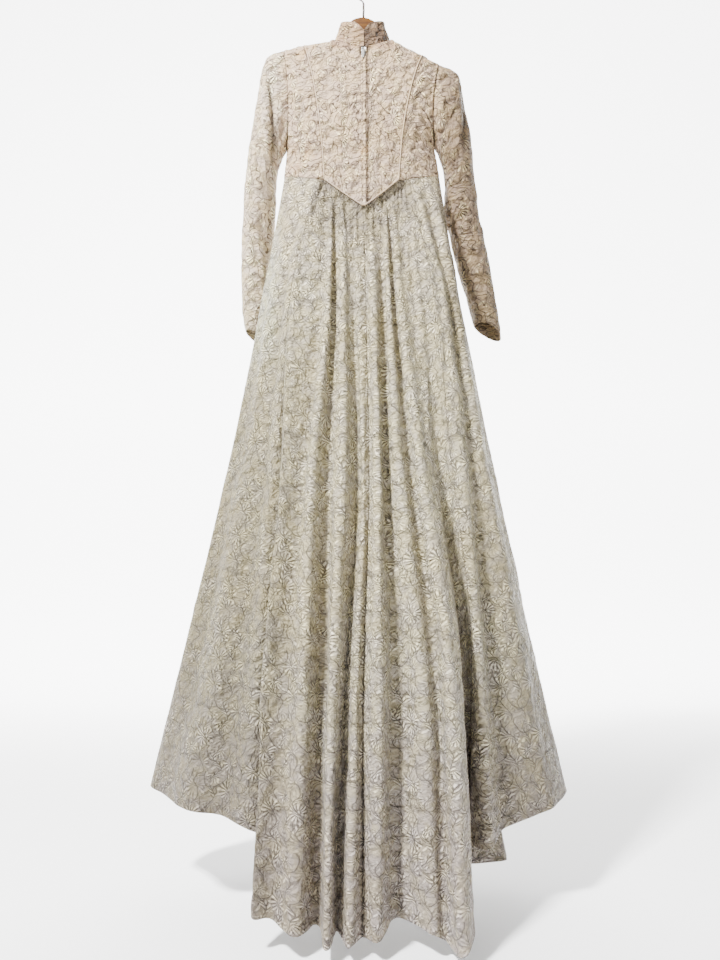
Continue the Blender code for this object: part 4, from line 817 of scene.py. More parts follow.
skirtCreases = {
    "back": [
        # crests and creases between the main folds, from the seam down
        ([(0.092, -0.500), (0.112, -0.557), (0.120, -0.640), (0.124, -0.720)], 0.006, 0.0034),
        ([(0.135, -0.557), (0.142, -0.682), (0.141, -0.805), (0.143, -0.985), (0.151, -1.044)],
         0.008, 0.0045),
        ([(0.120, -0.540), (0.129, -0.682), (0.128, -0.790)], 0.006, -0.0035),
        ([(0.080, -0.682), (0.090, -0.743), (0.103, -0.805), (0.119, -0.865), (0.132, -0.925)],
         0.008, 0.0050),
        ([(0.088, -0.678), (0.108, -0.733), (0.129, -0.788)], 0.004, -0.0035),
        ([(-0.105, -0.557), (-0.108, -0.682), (-0.117, -0.805), (-0.127, -0.985), (-0.136, -1.080)],
         0.007, 0.0045),
        ([(-0.094, -0.520), (-0.098, -0.682), (-0.106, -0.805)], 0.005, -0.0035),
        ([(0.163, -0.589), (0.173, -0.764), (0.189, -0.965)], 0.016, -0.0040),
        ([(-0.137, -0.557), (-0.153, -0.764), (-0.173, -0.965)], 0.014, -0.0040),
        ([(-0.150, -0.500), (-0.168, -0.640), (-0.186, -0.780)], 0.012, 0.0030),
        # lower down the cloth swells and breaks softly
        ([(0.144, -1.276), (0.159, -1.418), (0.175, -1.593), (0.181, -1.696)], 0.010, -0.0045),
        ([(0.185, -1.347), (0.201, -1.489), (0.210, -1.628)], 0.014, 0.0040),
        ([(-0.251, -1.489), (-0.262, -1.593), (-0.274, -1.696)], 0.010, -0.0045),
        ([(-0.292, -1.506), (-0.301, -1.602), (-0.306, -1.688)], 0.010, 0.0040),
        ([(-0.325, -1.460), (-0.345, -1.600), (-0.360, -1.700)], 0.012, -0.0040),
        ([(0.116, -1.383), (0.122, -1.489), (0.132, -1.628)], 0.008, -0.0035),
        ([(0.044, -1.347), (0.047, -1.524), (0.050, -1.696)], 0.008, 0.0030),
        ([(-0.050, -1.276), (-0.067, -1.454), (-0.088, -1.628)], 0.009, -0.0045),
        ([(-0.119, -1.276), (-0.136, -1.418), (-0.145, -1.576)], 0.009, -0.0035),
        ([(-0.014, -1.418), (-0.020, -1.593), (-0.024, -1.764)], 0.008, -0.0030),
        ([(0.300, -1.200), (0.330, -1.400), (0.350, -1.600)], 0.022, -0.0045),
        ([(0.250, -1.050), (0.268, -1.200), (0.280, -1.380)], 0.020, 0.0040),
        ([(0.262, -1.450), (0.290, -1.600), (0.305, -1.700)], 0.018, 0.0040),
        ([(0.215, -0.760), (0.232, -0.900), (0.246, -1.020)], 0.018, -0.0035),
        ([(-0.230, -0.900), (-0.250, -1.040), (-0.268, -1.180)], 0.014, -0.0045),
        ([(-0.215, -1.100), (-0.238, -1.260), (-0.256, -1.400)], 0.014, 0.0040),
        ([(-0.290, -1.220), (-0.316, -1.380), (-0.340, -1.520)], 0.014, 0.0040),
        # small slanting breaks between the ridges of the train
        ([(0.170, -1.300), (0.140, -1.345), (0.128, -1.360)], 0.008, -0.0030),
        ([(0.178, -1.420), (0.150, -1.460), (0.136, -1.470)], 0.008, -0.0030),
        ([(0.185, -1.540), (0.158, -1.585), (0.140, -1.600)], 0.009, -0.0030),
        ([(0.168, -1.240), (0.150, -1.268), (0.132, -1.286)], 0.008, 0.0026),
        ([(0.180, -1.650), (0.152, -1.690), (0.134, -1.700)], 0.009, 0.0028),
        ([(-0.040, -1.250), (-0.064, -1.290), (-0.078, -1.300)], 0.008, -0.0026),
        ([(-0.066, -1.500), (-0.094, -1.545), (-0.110, -1.550)], 0.009, -0.0028),
        ([(-0.094, -1.660), (-0.120, -1.700), (-0.140, -1.705)], 0.009, 0.0028),
        ([(0.090, -1.660), (0.110, -1.700), (0.120, -1.745)], 0.008, -0.0026),
        ([(0.012, -1.560), (0.030, -1.610), (0.034, -1.660)], 0.007, -0.0026),
    ],
    "front": [
        ([(0.120, -0.520), (0.150, -0.700), (0.176, -0.900)], 0.014, -0.0045),
        ([(-0.112, -0.520), (-0.140, -0.700), (-0.166, -0.900)], 0.014, -0.0045),
        ([(0.060, -0.700), (0.074, -0.950), (0.090, -1.150)], 0.014, 0.0045),
        ([(-0.040, -0.640), (-0.050, -0.900), (-0.064, -1.100)], 0.014, 0.0045),
        ([(0.190, -1.200), (0.222, -1.400), (0.250, -1.600)], 0.018, -0.0050),
        ([(-0.180, -1.180), (-0.212, -1.400), (-0.240, -1.620)], 0.018, -0.0050),
        ([(0.020, -1.250), (0.026, -1.450), (0.030, -1.640)], 0.014, -0.0045),
        ([(0.290, -1.350), (0.320, -1.520), (0.342, -1.660)], 0.016, 0.0040),
        ([(-0.280, -1.350), (-0.306, -1.520), (-0.326, -1.660)], 0.016, 0.0040),
        ([(0.110, -1.380), (0.090, -1.420), (0.074, -1.440)], 0.010, -0.0030),
        ([(-0.110, -1.500), (-0.088, -1.540), (-0.070, -1.560)], 0.010, -0.0030),
        ([(0.160, -1.560), (0.138, -1.600), (0.120, -1.615)], 0.010, 0.0030),
    ],
}
accentValues = {
    "grow": 0.10, "lowShare": 0.75, "lowFrom": 0.9, "lowReach": 0.5, "widths": (0.75, 1.45),
    "widthReach": 1.4,
    "mean": 0.15, "sway": (0.003, 0.33), "fade": (0.75, 0.45, 0.55), "start": 0.12, "reach": 0.15,
    "depth": 0.0035, "depthWidth": 0.0032, "shadeWidth": 0.0026,
}


def accentHeight(places, across, down):
    # sharper crests and hollows along the panel's own fold lines, with painted shade along the creases
    v = accentValues
    height, crease = np.zeros(across.shape), np.zeros(across.shape)
    lower = smooth((down - v["lowFrom"]) / v["lowReach"])
    grow = smooth(down / v["grow"]) * mix(1.0, v["lowShare"], lower)
    for index in range(int(places[0]) + 1, int(places[-1])):
        name = foldNames[index % len(skirtFolds)]
        if name not in foldAccents:
            continue
        depth, width, sharp = foldAccents[name]
        column = int(np.argmin(np.abs(places - index)))
        gap = across - across[:, column:column + 1]
        spread = width * mix(*v["widths"], smooth(down / v["widthReach"]))
        height += depth * grow * (bell(gap, spread) - v["mean"])
        if sharp > 0:
            # the crease wanders and fades in places, as a fold that hangs free does
            size, length = v["sway"]
            sway = gap + size * softWaves(down * 0, down, length, index)
            mean, swing, length = v["fade"]
            fade = np.clip(mean + swing * softWaves(down * 0, down, length, index + 40), 0.2, 1.0)
            line = sharp * fade * smooth((down - v["start"]) / v["reach"])
            height -= v["depth"] * line * bell(sway, v["depthWidth"])
            crease = np.maximum(crease, line * bell(sway, v["shadeWidth"]))
    return height, crease


def foldLines(drop):
    # every fold line at every drop: fold, drop, xyz
    lines = []
    for row in skirtFolds:
        x = hermite(skirtLevels, np.array(row[1:6])[:, None], drop)[:, 0]
        yThigh, yHem, zHem = row[6:]
        face = 1 if yHem >= 0 else -1
        waist = float(waistDepth(row[1], face))
        bend = 2 * (waist - 2 * yThigh + yHem)
        y = waist + (yHem - waist - bend) * drop + bend * drop * drop
        top = float(waistHeight(row[1], face)) - skirtValues["seamRest"]
        lines.append(np.stack([x, y, mix(top, zHem, drop)], axis=-1))
    return np.stack(lines)


def skirtPoint(place, drop):
    count = len(skirtFolds)
    index = np.floor(place).astype(int)
    share = (place - index)[None, :, None]

    def between(levels):
        lines = foldLines(levels).transpose(1, 0, 2)
        return spline(*[lines[:, (index + k) % count] for k in (-1, 0, 1, 2)], share)

    # right under the seam the cloth follows the waist ring
    seam = between(np.zeros(1))[0]
    x = seam[:, 0]
    face = np.where(place % count <= skirtValues["backFolds"], 1, -1)
    ring = np.stack([x, waistDepth(x, face), waistHeight(x, face) - skirtValues["seamRest"]], axis=-1)
    fall = (1 - smooth(drop / skirtValues["gatherDrop"]))[:, None, None]
    return between(drop) + (ring - seam)[None] * fall


def panelPlaces(first, last):
    count = len(skirtFolds)
    start, stop = foldNames.index(first), foldNames.index(last)
    if stop <= start:
        stop += count
    hem = foldLines(np.ones(1))[:, 0]
    places = []
    for index in range(start, stop):
        gap = np.linalg.norm(hem[(index + 1) % count] - hem[index % count])
        samples = max(skirtValues["leastCells"], round(gap / skirtValues["cell"]))
        places += [index + k / samples for k in range(samples)]
    return np.array(places + [stop], float)


def gatherHeight(across, down, seed):
    # small uneven gathers that the seam holds, each dying out at its own length
    v = gatherValues
    maker = np.random.default_rng(seed)
    top = across[0]
    height = np.zeros(across.shape)
    place = top.min() + v["start"]
    while place < top.max() - v["end"]:
        size = maker.uniform(*v["size"]) * v["full"]
        length = maker.uniform(*v["length"]) * v["fullLength"]
        half = maker.uniform(*v["half"])
        column = np.argmin(np.abs(top - place))
        middle = across[:, column:column + 1] + down * maker.uniform(*v["lean"])
        grow = smooth(down / v["grow"]) * (1 - smooth(down / length))
        height += size * grow * (bell(across - middle, half) - v["mean"])
        place += half * maker.uniform(*v["spacing"])
    return height


def makeSkirt(name, first, last, start, materials):
    v = skirtValues
    places = panelPlaces(first, last)
    drop = np.linspace(0, 1, v["rows"]) ** v["rowPower"]
    ends = 1 - np.array(v["hemRows"])
    drop = np.array(sorted(set(drop[drop < v["hemFrom"]]) | set(ends) | set(v["topRows"])))
    points = skirtPoint(places, drop)
    normals, outward = faceOut(points, (points - (0.0, 0.02, 0.0)) * (1, 1, 0))
    laidFrom = foldNames.index(start)
    while laidFrom < places[0]:
        laidFrom += len(skirtFolds)
    across, down = flatPlaces(points, int(np.argmin(np.abs(places - laidFrom))))
    uvs = np.stack([across, down - points[:1, :, 2]], axis=-1)
    edge = np.minimum(across - across[:, :1], across[:, -1:] - across)
    height, crease = accentHeight(places, across, down)
    creases = skirtCreases["front" if name == "skirt_front" else "back"]
    height = height + creaseHeight(points, creases) * smooth(down / v["creaseFade"])
    height = height + swellHeight(v["swells"], across, down, down, len(name))
    # painted shadow along the top seam and under the waist cord, painted shade in the gathers, the hollows
    # and the creases, and painted shadow at the sides
    shade = lineShade(down, v["seamLine"])
    sideways = smooth(edge / v["sideFade"])
    if name.startswith("train"):
        gathers = gatherHeight(across, down, len(name))
        share, deep = v["gatherHollow"]
        shade = np.maximum(lineShade(down, v["gatherLine"]), share * hollowShade(gathers, deep))
        height = (height + gathers) * sideways - lineShade(down, v["gatherDip"])
    else:
        height = height * sideways
    share, deep = v["hollow"]
    shade = np.maximum.reduce([shade, share * hollowShade(height, deep), v["crease"] * crease,
                               lineShade(edge, v["sideLine"])])
    height = height - clothValues["seamDip"] * bell(edge, clothValues["seamWidth"])
    height = height - lineShade(down[-1:] - down, v["hemDip"])
    return sewPanel(name, points, normals, height, uvs, outward, materials, shade)


# Shader building

class Value:
    # one output of a node tree, with which sums can be written plainly
    def __init__(self, tree, socket):
        self.tree = tree
        self.socket = socket

    def __add__(self, other):
        return calc(self.tree, "ADD", self, other)

    def __sub__(self, other):
        return calc(self.tree, "SUBTRACT", self, other)

    def __rsub__(self, other):
        return calc(self.tree, "SUBTRACT", other, self)

    def __mul__(self, other):
        return calc(self.tree, "MULTIPLY", self, other)

    def __truediv__(self, other):
        return calc(self.tree, "DIVIDE", self, other)

    def __abs__(self):
        return calc(self.tree, "ABSOLUTE", self)


def feed(tree, value, socket):
    value = getattr(value, "socket", value)
    if isinstance(value, bpy.types.NodeSocket):
        tree.links.new(value, socket)
    elif socket.type == "RGBA":
        socket.default_value = (*value[:3], 1.0)
    else:
        socket.default_value = value


def addNode(tree, kind, values=None, output=None, **settings):
    # the node itself, or one of its outputs where that is named
    item = tree.nodes.new(kind)
    for key, value in settings.items():
        setattr(item, key, value)
    for key, value in (values or {}).items():
        feed(tree, value, item.inputs[key])
    return item if output is None else Value(tree, item.outputs[output])


def calc(tree, operation, *values):
    return addNode(tree, "ShaderNodeMath", dict(enumerate(values)), 0, operation=operation)


def largest(first, *others):
    for other in others:
        first = calc(first.tree, "MAXIMUM", first, other)
    return first


def lengthOf(x, y):
    return calc(x.tree, "SQRT", x * x + y * y)


def ramp(value, low, high):
    # nought at low, one at high, soft in between
    return addNode(value.tree, "ShaderNodeMapRange", {"Value": value, "From Min": low, "From Max": high},
                   "Result", interpolation_type="SMOOTHSTEP")


def blend(tree, share, first, second, kind="MIX"):
    return addNode(tree, "ShaderNodeMix", {"Factor": share, "A": first, "B": second}, "Result",
                   data_type="RGBA", blend_type=kind)


def noiseOn(place, scale, detail=2.0, roughness=0.5):
    return addNode(place.tree, "ShaderNodeTexNoise",
                   {"Vector": place, "Scale": scale, "Detail": detail, "Roughness": roughness}, "Fac")


def axesOf(vector):
    split = addNode(vector.tree, "ShaderNodeSeparateXYZ", {"Vector": vector})
    return [Value(vector.tree, socket) for socket in split.outputs]


def newGroup(name, inputs, outputs, kind="ShaderNodeTree"):
    tree = bpy.data.node_groups.new(name, kind)
    for label, socketKind, value in inputs:
        socket = tree.interface.new_socket(label, in_out="INPUT", socket_type="NodeSocket" + socketKind)
        if value is not None:
            socket.default_value = value
    for label, socketKind in outputs:
        tree.interface.new_socket(label, in_out="OUTPUT", socket_type="NodeSocket" + socketKind)
    given = {socket.name: Value(tree, socket) for socket in tree.nodes.new("NodeGroupInput").outputs}
    return tree, given, tree.nodes.new("NodeGroupOutput").inputs


def newMaterial(name, settings):
    material = bpy.data.materials.new(name)
    material.use_nodes = True
    tree = material.node_tree
    shader = tree.nodes["Principled BSDF"]
    for key, value in settings.items():
        shader.inputs[key].default_value = value
    return material, tree, shader.inputs


def addRelief(tree, height, inputs):
    bump = addNode(tree, "ShaderNodeBump", {"Height": height, "Strength": 1.0, "Distance": 1.0}, "Normal")
    feed(tree, bump, inputs["Normal"])


# Embroidery, laid out in metres on the flat cloth

embroideryValues = {
    "repeat": 0.048,        # height of one repeat
    "column": 0.062,        # width of one repeat
    "uneven": 0.0144, "unevenScale": 34.0,
    "daisy": {"shift": (0.26, 0.5), "petals": 14, "inner": 0.0050, "outer": 0.0190},
    "fan": {"shift": (0.76, 0.0), "petals": 16, "inner": 0.0045, "outer": 0.0160},
    "petalTip": 0.0022, "petalEdge": 0.0016, "scallop": 0.0215, "line": 0.0008, "lineShare": 0.95,
    "vineSwing": 0.0065,
    # turn, height and distance aside of the three leaves in a repeat
    "leaves": [(0.9, 0.010, 0.0075), (-0.7, -0.013, -0.0075), (2.3, -0.002, 0.012)],
    "leafLength": 0.0080, "leafWidth": 0.0022, "knot": 0.0022,
    "fernSlant": 0.9, "fernStep": 0.0068, "fernWidth": 0.0075, "fernSwing": 0.002625,
    "fernStart": (0.0007, 0.0016),
    "patchScale": 15.0, "workedScale": 52.0,
    "wanderScale": 30.0, "wanderLevels": (0.46, 0.60), "wanderLine": 0.0105,
    "lift": 0.0042, "ribScale": 260.0, "ribLift": 0.00008,
    "puckerScale": 58.0, "puckerSize": 0.019, "puckerStretch": (0.92, 1.12, 1.0),
    "crumpleScale": 30.0, "crumpleSize": 0.021,
}


def latticeCell(u, v, width, height, shift):
    # place within the cell of a lattice, from its middle
    return [(calc(u.tree, "FRACT", value / size + (move + 100.0)) - 0.5) * size
            for value, size, move in ((u, width, shift[0]), (v, height, shift[1]))]


def petalRing(x, y, petals, inner, outer):
    # satin stitch petals round a middle: their face, the gap between them, which is sunk and gets painted
    # shade, and the radius
    v = embroideryValues
    radius = lengthOf(x, y)
    wave = calc(x.tree, "COSINE", calc(x.tree, "ARCTAN2", y, x) * petals)
    tip = radius - wave * v["petalTip"]
    ring = ramp(radius, inner, inner + v["petalEdge"]) * ramp(tip, outer, outer - v["petalEdge"])
    return ring * ramp(wave, -0.35, 0.35), ring * ramp(wave, 0.0, -0.55), radius


def thinLine(distance, width):
    return ramp(abs(distance), width * 1.5, width * 0.4)


def wavesUp(height, length):
    return calc(height.tree, "SINE", height * (2 * math.pi / length))


def makeLeaf(x, y, turn, rise, aside):
    v = embroideryValues
    x, y = x - aside, y - rise
    along = (x * math.cos(turn) + y * math.sin(turn)) / v["leafLength"]
    over = (y * math.cos(turn) - x * math.sin(turn)) / v["leafWidth"]
    return ramp(along * along + over * over, 1.15, 0.6)


def makeEmbroidery():
    v = embroideryValues
    tree, given, out = newGroup("embroidery", [("Flat", "Vector", None), ("Wandering", "Float", 0.0)],
                                [("Thread", "Float"), ("Line", "Float"), ("Height", "Float")])
    flat, wandering = given["Flat"], given["Wandering"]
    calm = 1.0 - wandering
    sway = addNode(tree, "ShaderNodeTexNoise",
                   {"Vector": flat, "Scale": v["unevenScale"], "Detail": 1.0}, "Color")
    moved = addNode(tree, "ShaderNodeVectorMath", {0: sway, 1: (v["uneven"], v["uneven"], 0.0), 2: flat}, 0,
                    operation="MULTIPLY_ADD")
    u, w, _ = axesOf(moved)
    column, repeat = v["column"], v["repeat"]
    # whole daisies in one column, half fans under a scalloped line in the next
    daisy, fan = v["daisy"], v["fan"]
    x, y = latticeCell(u, w, column, repeat, daisy["shift"])
    daisyFace, daisyGap, _ = petalRing(x, y, daisy["petals"], daisy["inner"], daisy["outer"])
    fx, fy = latticeCell(u, w, column, repeat, fan["shift"])
    fanFace, fanGap, radius = petalRing(fx, fy, fan["petals"], fan["inner"], fan["outer"])
    upper = ramp(fy, -0.003, 0.001)
    arc = thinLine(radius - v["scallop"], v["line"]) * ramp(fy, -0.010, -0.006)
    # vines that wind up between the columns, with a leaf at each turn
    vx, vy = latticeCell(u, w, column / 2, repeat, (0.0, 0.0))
    fromVine = vx - wavesUp(w, repeat) * v["vineSwing"]
    leaf = largest(*[makeLeaf(vx, vy, *row) for row in v["leaves"]])
    kx, ky = latticeCell(u, w, column, repeat, (0.0, 0.5))
    knot = ramp(lengthOf(kx, ky), v["knot"] * 1.3, v["knot"] * 0.7)
    # fern fronds of short slanting stitches on both sides of the vine
    side = abs(fromVine)
    stitch = wavesUp(side * v["fernSlant"] + w, v["fernStep"])
    wide = wavesUp(w, repeat / 2) * v["fernSwing"] + v["fernWidth"]
    band = ramp(side, *v["fernStart"]) * ramp(side / wide, 1.1, 0.8) * calm
    # where single lines wander over the cloth, only one side of each daisy is worked
    half = largest(ramp(x, -0.003, 0.002), calm)
    satin = largest(daisyFace * half, fanFace * upper * (calm * 0.6 + 0.4), leaf,
                    band * ramp(stitch, -0.3, 0.4))
    # painted shade in the gaps between the petals and between the fern stitches
    gaps = largest(daisyGap * half, fanGap * upper * (calm * 0.7 + 0.3),
                   band * ramp(stitch, -0.2, -0.9) * 0.8)
    # the work is fuller in some places than in others
    patch = ramp(noiseOn(flat, v["patchScale"]), 0.38, 0.60)
    worked = ramp(noiseOn(flat, v["workedScale"], 1.0), 0.36, 0.52)
    strength = (patch * 0.75 + 0.25) * (worked * 0.8 + 0.2)
    satin, gaps = satin * strength, gaps * strength
    waves = noiseOn(flat, v["wanderScale"], 1.0, 0.45)
    wandered = largest(*[thinLine(waves - level, v["wanderLine"]) for level in v["wanderLevels"]])
    line = largest(largest(arc, thinLine(fromVine, v["line"]), knot) * calm, wandered * wandering)
    # the stitches pull the ground cloth into small puckers
    pulled = addNode(tree, "ShaderNodeMapping", {"Vector": flat, "Scale": v["puckerStretch"]}, 0)
    pucker = (noiseOn(pulled, v["puckerScale"], 2.5, 0.55) - 0.5) * v["puckerSize"]
    crumple = (noiseOn(flat, v["crumpleScale"], 1.0) - 0.5) * v["crumpleSize"]
    # single threads run across the satin
    ribs = addNode(tree, "ShaderNodeTexWave",
                   {"Vector": flat, "Scale": v["ribScale"], "Distortion": 3.0}, "Fac",
                   bands_direction="DIAGONAL")
    height = pucker + crumple + satin * v["lift"] + (line - gaps) * (v["lift"] / 2)
    feed(tree, satin, out["Thread"])
    # the pattern's dark lines, and the painted shade between its stitches
    feed(tree, largest(line * v["lineShare"], gaps), out["Line"])
    feed(tree, height + satin * ribs * v["ribLift"], out["Height"])
    return tree


weaveValues = {"threads": 190.0, "distortion": 1.2, "slubs": 420.0, "lift": 0.0001}


def makeWeave():
    # plain weave of the ground cloth: colour share and height
    v = weaveValues
    tree, given, out = newGroup("plain weave", [("Flat", "Vector", None)],
                                [("Shade", "Float"), ("Height", "Float")])
    warp, weft = [addNode(tree, "ShaderNodeTexWave",
                          {"Vector": given["Flat"], "Scale": v["threads"], "Distortion": v["distortion"],
                           "Detail": 1.0}, "Fac", bands_direction=direction) for direction in ("X", "Y")]
    shade = (warp * weft + noiseOn(given["Flat"], v["slubs"])) * 0.5
    feed(tree, shade, out["Shade"])
    feed(tree, shade * v["lift"], out["Height"])
    return tree


ageingAndPaintedLightValues = {
    # the tints for the hem and the sides and the right sleeve's tint are painted shade; the left sleeve's
    # tint is painted light
    "middle": (1.0, 1.05, 1.02), "middleShare": 0.8, "low": (0.74, 0.75, 0.89), "aside": (0.58, 0.57, 0.53),
    "paintedLight": (1.13, 1.22, 1.28), "paintedShade": (0.60, 0.58, 0.545), "neck": (0.78, 0.70, 0.64),
    "broad": (0.95, 0.90, 0.80), "cool": (0.90, 0.88, 0.97), "warm": (1.0, 0.965, 0.84),
    "stain": (0.93, 0.80, 0.60),
    # x, z and reach of the yellowed places on the shoulders and beside the lower zip
    "stains": [(0.118, -0.175, 0.045), (-0.126, -0.19, 0.03), (0.004, -0.42, 0.03), (0.13, -0.42, 0.05)],
}


def makeAgeingAndPaintedLight():
    # soft uneven tone of aged cloth, its colour drifting from the shoulders to the train, with painted shade
    # towards the hem, at the sides and on one sleeve, and painted light on the other sleeve
    v = ageingAndPaintedLightValues
    tree, given, out = newGroup("old cloth and painted light", [("Colour", "Color", None), ("Place", "Vector", None)],
                                [("Colour", "Color")])
    place = given["Place"]
    x, _, z = axesOf(place)
    sleeves = ramp(z, -0.95, -0.75)
    # small cooler and warmer places, as the thread and the ground have grown apart with age
    drift = blend(tree, ramp(noiseOn(place, 44.0), 0.38, 0.62), v["cool"], v["warm"])
    spots = ramp(noiseOn(place, 46.0), 0.42, 0.60)
    stain = largest(*[ramp(lengthOf(x - px, z - pz), size, size * 0.2) for px, pz, size in v["stains"]])
    tints = [
        (ramp(z, -0.50, -0.85) * ramp(z, -1.85, -1.45) * v["middleShare"], v["middle"]),
        # painted shade: darker and cooler towards the hem
        (ramp(z, -1.15, -1.85), v["low"]),
        # painted shade: both sides are darker than the middle, the left side more
        (ramp(abs(x + 0.05), 0.11, 0.30) * ramp(z, -0.5, -1.1), v["aside"]),
        # painted light on the left sleeve and painted shade on the right sleeve; the collar is made darker
        (ramp(x, 0.165, 0.195) * sleeves, v["paintedLight"]),
        (ramp(x, -0.155, -0.185) * sleeves, v["paintedShade"]),
        (ramp(abs(x), 0.085, 0.065) * ramp(z, -0.188, -0.176), v["neck"]),
        (ramp(noiseOn(place, 5.0, 3.0), 0.35, 0.68) * 0.45, v["broad"]),
        (0.75, drift),
        (stain * spots * 0.65, v["stain"]),
    ]
    colour = given["Colour"]
    for share, tint in tints:
        colour = blend(tree, share, colour, tint, "MULTIPLY")
    feed(tree, colour, out["Colour"])
    return tree


embroidery, weave, ageingAndPaintedLight = makeEmbroidery(), makeWeave(), makeAgeingAndPaintedLight()


def useGroup(tree, group, values):
    item = addNode(tree, "ShaderNodeGroup", node_tree=group)
    for key, value in values.items():
        feed(tree, value, item.inputs[key])
    return {socket.name: Value(tree, socket) for socket in item.outputs}


clothLooks = {
    # hollow is the colour of the painted shade; line colours the pattern's dark lines and the painted shade
    # between stitches
    "bodice cloth": {
        "ground": (0.475, 0.358, 0.243), "groundDark": (0.385, 0.281, 0.184), "thread": (0.93, 0.78, 0.48),
        "line": (0.090, 0.060, 0.037), "lineShare": 0.88, "wandering": 1.0, "roughness": 0.64,
        "hollow": (0.18, 0.158, 0.138)},
    "skirt cloth": {
        "ground": (0.37, 0.321, 0.226), "groundDark": (0.295, 0.252, 0.172), "thread": (0.78, 0.69, 0.49),
        "line": (0.095, 0.077, 0.053), "lineShare": 0.66, "wandering": 0.0, "roughness": 0.56,
        "hollow": (0.18, 0.160, 0.138)},
    "wrong side": {
        "ground": (0.30, 0.235, 0.165), "groundDark": (0.22, 0.17, 0.12), "roughness": 0.8,
        "hollow": (0.6, 0.55, 0.5)},
}
clothSheen = {"Sheen Weight": 0.05, "Specular IOR Level": 0.16}


def clothMaterial(name):
    look = clothLooks[name]
    material, tree, shader = newMaterial(name, {**clothSheen, "Sheen Roughness": 0.45,
                                                "Roughness": look["roughness"]})
    flat = addNode(tree, "ShaderNodeUVMap", output="UV", uv_map="cloth")
    ground = useGroup(tree, weave, {"Flat": flat})
    colour = blend(tree, ground["Shade"] * 0.5, look["ground"], look["groundDark"])
    height = ground["Height"]
    if "thread" in look:
        work = useGroup(tree, embroidery, {"Flat": flat, "Wandering": look["wandering"]})
        colour = blend(tree, work["Thread"], colour, look["thread"])
        # the pattern's dark lines and the painted shade between its stitches
        colour = blend(tree, work["Line"] * look["lineShare"], colour, look["line"])
        height = height + work["Height"]
        feed(tree, work["Thread"] * -0.24 + look["roughness"], shader["Roughness"])
    place = addNode(tree, "ShaderNodeTexCoord", output="Object")
    agedAndPaintedLight = useGroup(tree, ageingAndPaintedLight, {"Colour": colour, "Place": place})["Colour"]
    # painted shade: the shade attribute darkens the colour towards the hollow colour
    dark = addNode(tree, "ShaderNodeAttribute", output="Fac", attribute_name="shade")
    feed(tree, blend(tree, dark, agedAndPaintedLight, look["hollow"], "MULTIPLY"), shader["Base Color"])
    addRelief(tree, height, shader)
    return material


# Piping, stitches and coils that follow a path

def finishBuild(tree, mesh, material, out):
    soft = addNode(tree, "GeometryNodeSetShadeSmooth", {"Geometry": mesh}, 0)
    dyed = addNode(tree, "GeometryNodeSetMaterial", {"Geometry": soft, "Material": material}, 0)
    feed(tree, dyed, out["Mesh"])
    return tree


def makeCordBuild():
    # a round cord along the path, with the slight unevenness of hand-fed piping
    tree, given, out = newGroup(
        "cord along a path",
        [("Path", "Geometry", None), ("Radius", "Float", 0.0014), ("Unevenness", "Float", 0.0004),
         ("Material", "Material", None)],
        [("Mesh", "Geometry")], "GeometryNodeTree")
    curve = addNode(tree, "GeometryNodeMeshToCurve", {"Mesh": given["Path"]}, 0)
    ring = addNode(tree, "GeometryNodeCurvePrimitiveCircle", {"Resolution": 12, "Radius": given["Radius"]}, 0)
    tube = addNode(tree, "GeometryNodeCurveToMesh",
                   {"Curve": curve, "Profile Curve": ring, "Fill Caps": True}, 0)
    place = addNode(tree, "GeometryNodeInputPosition", output=0)
    noise = addNode(tree, "ShaderNodeTexNoise", {"Vector": place, "Scale": 120.0}, "Fac")
    shift = (noise - 0.5) * given["Unevenness"]
    normal = addNode(tree, "GeometryNodeInputNormal", output=0)
    push = addNode(tree, "ShaderNodeVectorMath", operation="SCALE")
    feed(tree, normal, push.inputs[0])
    feed(tree, shift, push.inputs["Scale"])
    moved = addNode(tree, "GeometryNodeSetPosition", {"Geometry": tube, "Offset": push.outputs[0]}, 0)
    return finishBuild(tree, moved, given["Material"], out)


def makeStitchBuild():
    # stitches laid end to end along the path, each a little longer or shorter than the next
    tree, given, out = newGroup(
        "stitches along a path",
        [("Path", "Geometry", None), ("Step", "Float", 0.003), ("Length", "Float", 0.0022),
         ("Thread", "Float", 0.0003), ("Seed", "Int", 3), ("Material", "Material", None)],
        [("Mesh", "Geometry")], "GeometryNodeTree")
    curve = addNode(tree, "GeometryNodeMeshToCurve", {"Mesh": given["Path"]}, 0)
    even = addNode(tree, "GeometryNodeResampleCurve", {"Curve": curve, "Length": given["Step"]}, 0,
                   mode="LENGTH")
    ball = addNode(tree, "GeometryNodeMeshUVSphere", {"Segments": 6, "Rings": 4, "Radius": 1.0}, 0)
    along = addNode(tree, "GeometryNodeInputTangent", output=0)
    turn = addNode(tree, "FunctionNodeAlignRotationToVector", {"Vector": along}, 0, axis="Z")
    size = addNode(tree, "FunctionNodeRandomValue", {"Min": 0.85, "Max": 1.12, "Seed": given["Seed"]},
                   data_type="FLOAT")
    spread = Value(tree, next(socket for socket in size.outputs if socket.type == "VALUE"))
    shape = addNode(tree, "ShaderNodeCombineXYZ", {"X": given["Thread"], "Y": given["Thread"],
                                                   "Z": given["Length"] * 0.5 * spread}, 0)
    placed = addNode(tree, "GeometryNodeInstanceOnPoints",
                     {"Points": even, "Instance": ball, "Rotation": turn, "Scale": shape}, 0)
    real = addNode(tree, "GeometryNodeRealizeInstances", {"Geometry": placed}, 0)
    return finishBuild(tree, real, given["Material"], out)


cordBuild, stitchBuild = makeCordBuild(), makeStitchBuild()


